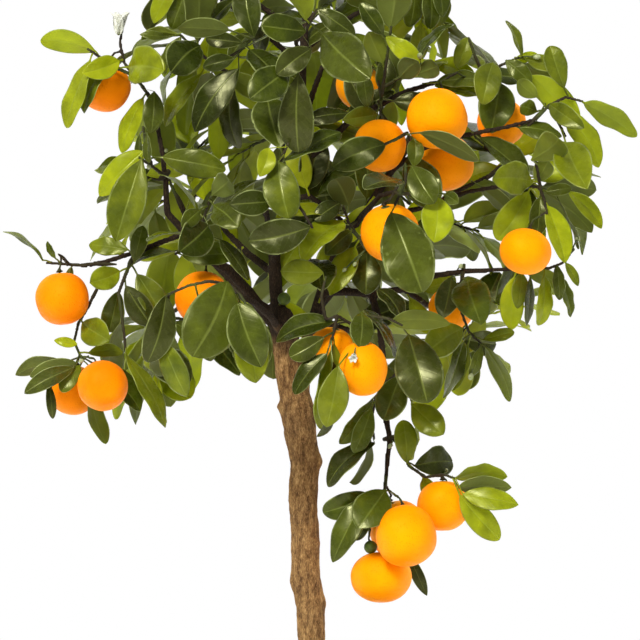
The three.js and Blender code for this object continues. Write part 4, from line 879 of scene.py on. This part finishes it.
def is_clear(leaf, fruits):
    """Whether a leaf stays clear of the others and of the fruits."""
    for t in (-0.1, 0.2, 0.5, 0.8, 1.0):
        place = leaf.foot.lerp(leaf.tip, t)
        if any((place - centre).length < radius + 0.25 * leaf.width for centre, radius in fruits):
            return False
    centre, reach, tree = Foliage.skin(leaf, 0.6 * MM)
    return not any(
        (centre - other).length < reach + far and tree.overlap(skin) for other, far, skin in Foliage.skins)


CELL = 4.0  # millimetres


class Cover:
    """What covers each cell of the view, as the depth of the nearest leaf or fruit there."""

    def __init__(self):
        self.depths = {}

    def spread(self, place, reach, depth):
        x, z = place / CELL
        span = reach / CELL
        for i in range(math.ceil(x - span), math.floor(x + span) + 1):
            for k in range(math.ceil(z - span), math.floor(z + span) + 1):
                if math.hypot(i - x, k - z) <= span:
                    self.depths[i, k] = min(depth, self.depths.get((i, k), depth))

    def add_leaf(self, leaf):
        turned = 0.15 + 0.85 * abs(leaf.above.y)
        for t, share in ((0.12, 0.3), (0.3, 0.45), (0.5, 0.5), (0.7, 0.45), (0.88, 0.3)):
            place = sight(leaf.foot.lerp(leaf.tip, t))
            self.spread(place, share * turned * leaf.width / MM, leaf.foot.y)

    def is_behind(self, point):
        """Whether a leaf at the point would hang in front of what is there."""
        x, z = sight(point) / CELL
        return point.y < self.depths.get((round(x), round(z)), -1.0) + 4 * MM


def is_in_crown(place):
    """Whether a seen point lies within the crown's outline.

    A line to its right then crosses an odd number of sides.
    """
    crossed = 0
    for (x0, z0), (x1, z1) in zip(CROWN, CROWN[1:] + CROWN[:1]):
        if (z0 > place.y) != (z1 > place.y) and place.x < x0 + (place.y - z0) / (z1 - z0) * (x1 - x0):
            crossed += 1
    return crossed % 2 == 1


MOST_EXTRA_LEAVES = 260
LEFT_OPEN = 0.35  # share of the open cells that isn't aimed at, in the middle of the crown
CELLS_ACROSS = range(-55, 56)
CELLS_UP = range(92, 190)  # from a height that leaves the hanging fruits their air
EXTRA_DEPTH = (-0.02, 0.13)
TWIG_REACH = (12, 32)  # from a leaf's aim to its root as seen, in millimetres
TRIES = 16


def leaf_toward(target, root, fruits, cover):
    """A leaf from the root with its middle over the seen target, or none where it would be in the way."""
    aim = placed(target.x, target.y, root.y / MM + rng.uniform(-4, 14))
    reach = (aim - root).normalized()
    foot = root + reach * rng.uniform(5, 8) * MM
    length = min(50 * MM, max(30 * MM, (aim - foot).length / 0.55))
    tip = foot + (reach - UP * rng.uniform(0, 0.2)).normalized() * length
    width = length * rng.uniform(0.46, 0.58)
    outward = (foot - Vector((0, 0, 0.44))).normalized()
    light = outward * 0.4 + UP * 0.5 + Vector((rng.uniform(-0.4, 0.4), rng.choice((-1, -1, 1)), 0))
    samples = [foot.lerp(tip, t) for t in (0.3, 0.6, 0.85, 1.0)]
    if any(cover.is_behind(p) or not is_in_crown(sight(p)) for p in samples):
        return None
    leaf = grown_leaf(root, foot, tip, width, light)
    return leaf if is_clear(leaf, fruits) else None


def add_leaves(anchors, fruits, known):
    """Leaves that fill part of the crown's open places, each from a stem or slender limb near there."""
    cover = Cover()
    for leaf in known:
        cover.add_leaf(leaf)
    for centre, radius in fruits:
        cover.spread(sight(centre), radius / MM, centre.y - radius)
    for x, y, z, radius in COLLAR:
        cover.spread(sight(Vector((x, y, z)) * MM), radius, (y - radius) * MM)
    for x, z, _ in YOUNG:
        cover.spread(Vector((x, z)), CELL, 0.0)
    tree = search_tree([(*sight(root), 0) for root in anchors])
    cells = [(i, k) for i in CELLS_ACROSS for k in CELLS_UP]
    open_cells = [cell for cell in cells if cell not in cover.depths and is_in_crown(Vector(cell) * CELL)]
    rng.shuffle(open_cells)
    foliage = Foliage()
    count = 0
    for cell in open_cells:
        target = Vector(cell) * CELL
        left_open = LEFT_OPEN + 0.5 * way(target.x, 45, 90) + 0.3 * way(target.x, -60, -100)
        if count >= MOST_EXTRA_LEAVES or cell in cover.depths or rng.random() < left_open:
            continue
        near = [i for _, i, far in tree.find_range((*target, 0), TWIG_REACH[1]) if far > TWIG_REACH[0]]
        roots = [anchors[rng.choice(near)] for _ in range(TRIES)] if near else []
        for root in roots:
            leaf = EXTRA_DEPTH[0] < root.y < EXTRA_DEPTH[1] and leaf_toward(target, root, fruits, cover)
            if leaf:
                foliage.grow(leaf, tone_of(leaf))
                cover.add_leaf(leaf)
                count += 1
                break
    wear(foliage.piece("leaves_between"), "leaf")


def add_measured_leaves():
    """The leaves of MORE_LEAVES, each from the nearest point of a stem."""
    stem_tree = search_tree(STEMS)
    foliage = Foliage()
    for x0, z0, y0, x1, z1, y1, width, tone in MORE_LEAVES:
        foot, tip = placed(x0, z0, y0), placed(x1, z1, y1)
        root, _, _ = stem_tree.find(foot)
        foliage.grow(grown_leaf(root, foot, tip, width * MM, Vector((0, -1, 0.3))), tone)
    wear(foliage.piece("leaves_more"), "leaf")


def tube(path, radii, sides=8):
    """A closed tube along a path, with the radius at each of its points."""
    rings = []
    across = (path[1] - path[0]).orthogonal().normalized()
    for i, (p, radius) in enumerate(zip(path, radii)):
        ahead = (path[min(i + 1, len(path) - 1)] - path[max(i - 1, 0)]).normalized()
        across = (across - ahead * across.dot(ahead)).normalized()
        rings.append([p + out * radius for out in spokes(ahead, sides, across)])
    return loft(rings)


SLEEVE = 8 * MM  # length to each side of a joint
NEAR_WOOD = 1.0 * MM
JOINT_REACH = 7 * MM  # from a joint's first point to its others
ROUND_JOINT = 14 * MM  # how far the points reach that give a joint its direction
RING_DEPTH = 4 * MM  # to each side of a joint, for the points that give its radius


def add_sleeves():
    """Short sleeves that carry the bark on where a twig grows on from a limb's end."""
    wood, faces = node_points("trunk_and_limbs")
    skin = BVHTree.FromPolygons(wood, faces)
    heap = Heap()
    for node in SPRAYS:
        points, _ = node_points(node)
        joints = []
        for p in points:
            if skin.find_nearest(p)[3] < NEAR_WOOD:
                home = next((joint for joint in joints if (joint[0] - p).length < JOINT_REACH), None)
                if home:
                    home.append(p)
                else:
                    joints.append([p])
        for joint in joints:
            end = sum(joint, Vector()) / len(joint)
            before = [p for p in wood if (p - end).length < ROUND_JOINT]
            after = [p for p in points if (p - end).length < ROUND_JOINT]
            ahead = (sum(after, Vector()) / len(after) - sum(before, Vector()) / len(before)).normalized()

            def reach(ring):
                offsets = [p - end for p in ring if abs((p - end).dot(ahead)) < RING_DEPTH]
                sizes = [(o - ahead * o.dot(ahead)).length for o in offsets]
                return min(3 * MM, sum(sizes) / len(sizes)) if sizes else 1.2 * MM

            from_wood, to_twig = reach(before), reach(joint)
            path = [end + ahead * (SLEEVE * share) for share in (-1, -0.5, 0, 0.5, 1)]
            radii = [from_wood + (to_twig - from_wood) * share for share in (0.1, 0.3, 0.5, 0.8, 1.0)]
            heap.add(tube(path, [r * swell for r, swell in zip(radii, (0.7, 1.0, 1.05, 0.95, 0.6))], 12))
    wear(new_object("sleeves", heap.points, heap.faces, [TWIG]), "bark")


PETAL_RING = ((-1, 0), (-0.5, 1), (0.5, 1), (1, 0), (0.5, -1), (-0.5, -1))  # across, and which face
PETAL_THICKNESS = 0.25 * MM
FLOWER_HEART = [(0, 1.6 * MM), (1.1 * MM, 0.8 * MM), (1.2 * MM, -0.6 * MM), (0, -1.2 * MM)]
BEFORE_COVER = 3 * MM  # how far a bud hangs in front of a leaf or fruit
BEFORE_STEM = 5 * MM  # and in front of a stem, where nothing covers it
IN_CALYX, IN_BUD, IN_PETAL, IN_FRUITLET = range(4)  # places in the list of materials


def petal_shape(centre, axis, out, length):
    """A petal of a half-open flower, upright with its tip curled out."""
    side = axis.cross(out)
    rings = []
    for i in range(8):
        t = i / 7
        width = length * 0.24 * math.sin(math.pi * min(0.97, 0.15 + 0.8 * t)) ** 0.7
        middle = centre + out * (length * (0.22 * t + 0.16 * t**3))
        middle += axis * (length * (0.95 * t - 0.12 * t**3))
        rings.append([
            middle + side * (s * width) + axis * (lift * PETAL_THICKNESS + 0.3 * width * s * s)
            for s, lift in PETAL_RING])
    return loft(rings)


def add_young():
    """Buds, flowers and young fruits on short stalks, in front of what would hide them."""
    heap = Heap()
    grown_from = (STEMS + LIMBS)[::7]
    bpy.context.view_layer.update()
    depsgraph = bpy.context.evaluated_depsgraph_get()
    for x, z, kind in YOUNG:
        line = (placed(x, z, 0) - EYE).normalized()

        def miss(p):
            away = p - EYE
            return (away - line * away.dot(line)).length + 0.04 * away.dot(line)

        is_covered, cover, *_ = bpy.context.scene.ray_cast(depsgraph, EYE, line)
        spot = cover - line * BEFORE_COVER
        root = min(grown_from, key=lambda p: (p - spot).length)
        if not is_covered or (spot - root).length > LONGEST_STALK:
            root = min(grown_from, key=miss)
            spot = EYE + line * ((root - EYE).dot(line) - BEFORE_STEM)
        if (spot - root).length > LONGEST_STALK:
            spot = root + (spot - root).normalized() * LONGEST_STALK
        ahead = (spot - root).normalized()
        axis = Vector((0.08, -0.2, 1)).normalized() if kind == "blossom" else ahead
        middle = root.lerp(spot, 0.5) + UP * 0.8 * MM
        stalk = [root - ahead * MM, middle, spot]
        heap.add(tube(stalk, [0.6 * MM, 0.5 * MM, 0.55 * MM]), IN_CALYX)
        if kind == "bud":
            size = rng.uniform(1.3, 1.9) * MM
            turns = [math.pi * i / 10 for i in range(11)]
            profile = [(size * math.sin(a), 1.5 * size * math.cos(a)) for a in turns]
            heap.add(turned_shape(profile, 12, spot + axis * size, axis), IN_BUD)
        elif kind == "fruit":
            profile = fruit_profile(4.6 * MM, 4.4 * MM, 14)
            heap.add(turned_shape(profile, 16, spot + axis * 3.5 * MM, -axis, 0.02), IN_FRUITLET)
        else:
            for out in spokes(axis, 5):
                length = PETALS[kind] * rng.uniform(0.9, 1.1) * MM
                heap.add(petal_shape(spot, axis, out, length), IN_PETAL)
                stamen = [spot, spot + axis * 4.5 * MM + out * 1.1 * MM]
                heap.add(tube(stamen, [0.35 * MM, 0.3 * MM], 6), IN_PETAL)
            heap.add(turned_shape(FLOWER_HEART, 10, spot + axis * 0.8 * MM, axis), IN_BUD)
        for out in spokes(axis, 5):
            sepal = [spot - axis * 0.4 * MM, spot + out * 1.3 * MM + axis * 0.5 * MM]
            heap.add(tube(sepal, [0.45 * MM] * 2, 6), IN_CALYX)
    materials = [CALYX, BUD, PETAL, FRUITLET]
    wear(new_object("buds_and_flowers", heap.points, heap.faces, materials, slots=heap.slots), "leaf")


# Pot, soil and screen

# Outline of the pot's wall and floor, radius and height in millimetres
POT = [
    (11, 8), (84, 8), (84, 1), (85, 0), (99, 0), (100, 1), (104, 8), (110, 15), (115.5, 22),
    (119, 30), (121, 44), (122.6, 60), (123.6, 74), (124, 78), (125.5, 80.5), (128.5, 82), (130, 84),
    (130, 93), (129.3, 95), (127.5, 96), (117.5, 96), (115.8, 95.4), (115, 94), (110, 34), (106, 26),
    (92, 18), (11, 18),
]


def lathe(name, profile, sides, material):
    """A closed ring turned from a closed profile of (radius, height) in millimetres."""
    points, faces = [], []
    count = len(profile)
    for k in range(sides):
        angle = 2 * math.pi * k / sides
        points.extend(Vector((r * math.cos(angle), r * math.sin(angle), z)) * MM for r, z in profile)
    for k in range(sides):
        a, b = k * count, (k + 1) % sides * count
        for i in range(count):
            j = (i + 1) % count
            faces.append((a + i, b + i, b + j, a + j))
    return new_object(name, points, faces, [material])


def build_pot():
    pot = lathe("pot_body", POT, 120, pot_look())
    bevel = pot.modifiers.new("edges", "BEVEL")
    bevel.width = 0.7 * MM
    bevel.segments = 2
    bevel.limit_method = "ANGLE"
    bevel.angle_limit = math.radians(30)
    wear(pot, "pot_stoneware", "pot")
    plastic = speckled_look("screen_plastic", (0.014, 0.014, 0.015), (0.028, 0.028, 0.029), 500.0, 0.55)
    for node, material in (("soil", SOIL), ("drainage_screen", plastic)):
        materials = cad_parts[node].data.materials
        materials.clear()
        materials.append(material)


GRAINS = 2600


def soil_height(reach):
    """The soil's top at a distance from the middle, in millimetres."""
    share = min(1.0, reach / 114)
    return 93 - 2 * min(1.0, share / 0.45) - 7 * max(0.0, (share - 0.45) / 0.55)


def build_grains():
    pattern = bmesh.new()
    bmesh.ops.create_icosphere(pattern, subdivisions=1, radius=1)
    corners = [v.co.copy() for v in pattern.verts]
    faces = [tuple(v.index for v in f.verts) for f in pattern.faces]
    pattern.free()
    heap = Heap()
    for i in range(GRAINS):
        reach = 18 + 93 * math.sqrt((i + 0.5) / GRAINS) + rng.uniform(-1.2, 1.2)
        angle = i * GOLDEN_ANGLE + rng.uniform(-0.2, 0.2)
        size = rng.uniform(1.1, 2.4) * MM
        stretch = Vector((rng.uniform(0.75, 1.25), rng.uniform(0.75, 1.25), rng.uniform(0.55, 0.95)))
        turn = Euler([rng.uniform(0, math.pi) for _ in range(3)]).to_matrix()
        middle = Vector((reach * math.cos(angle), reach * math.sin(angle), soil_height(reach))) * MM
        points = [middle + turn @ (corner * stretch * size * rng.uniform(0.82, 1.1)) for corner in corners]
        heap.add((points, faces))
    wear(new_object("soil_grains", heap.points, heap.faces, [SOIL], smooth=False), "soil_mix")


# Floor, light and camera


def area_light(name, place, size, power, is_mirrored):
    light = bpy.data.lights.new(name, "AREA")
    light.shape = "DISK"
    light.size = size
    light.energy = power
    lamp = linked(name, light)
    lamp.location = place
    lamp.rotation_euler = (Vector((0, 0, 0.45)) - Vector(place)).to_track_quat("-Z", "Y").to_euler()
    lamp.visible_camera = False
    lamp.visible_glossy = is_mirrored


def build_stage():
    rim = [2 * math.pi * k / 64 for k in range(64)]
    points = [Vector((1.7 * math.cos(a), 1.7 * math.sin(a), -0.0005)) for a in rim]
    look = speckled_look("floor", (0.80, 0.80, 0.79), (0.84, 0.84, 0.83), 2.0, 0.8)
    new_object("floor", points, [tuple(range(64))], [look])
    world = bpy.data.worlds.new("studio")
    world.use_nodes = True
    tree = world.node_tree
    direction = tree.nodes.new("ShaderNodeTexCoord").outputs["Generated"]
    parts = tree.nodes.new("ShaderNodeSeparateXYZ")
    tree.links.new(direction, parts.inputs[0])
    toward_back = tree.nodes.new("ShaderNodeMapRange")
    toward_back.interpolation_type = "SMOOTHSTEP"
    for socket, value in zip(toward_back.inputs[1:5], (0.2, 0.95, 0.52, 1.0)):
        socket.default_value = value
    tree.links.new(parts.outputs[1], toward_back.inputs[0])
    tree.links.new(toward_back.outputs[0], tree.nodes["Background"].inputs["Strength"])
    tree.nodes["Background"].inputs["Color"].default_value = (1, 1, 1, 1)
    bpy.context.scene.world = world
    area_light("key", (-0.8, -2.2, 2.2), 0.9, 110, True)
    area_light("back_left", (-1.3, 1.5, 1.7), 1.0, 60, False)
    area_light("back_right", (1.3, 1.5, 1.7), 1.0, 75, False)


def build_camera():
    bpy.context.scene.view_settings.view_transform = "Standard"
    camera = bpy.data.cameras.new("camera")
    camera.lens = camera.sensor_width / 2 * -EYE.y / SEEN_HALF_WIDTH
    camera.clip_end = 20
    eye = linked("camera", camera)
    eye.location = EYE
    eye.rotation_euler = (math.pi / 2, 0, 0)
    bpy.context.scene.camera = eye


STEMS, KNOWN = build_sprays()
LIMBS = build_wood()
FRUITS = build_fruits()
add_measured_leaves()
add_leaves((STEMS + LIMBS)[::9], FRUITS, KNOWN)
add_sleeves()
add_young()
build_pot()
build_grains()
build_stage()
build_camera()

bpy.context.view_layer.update()
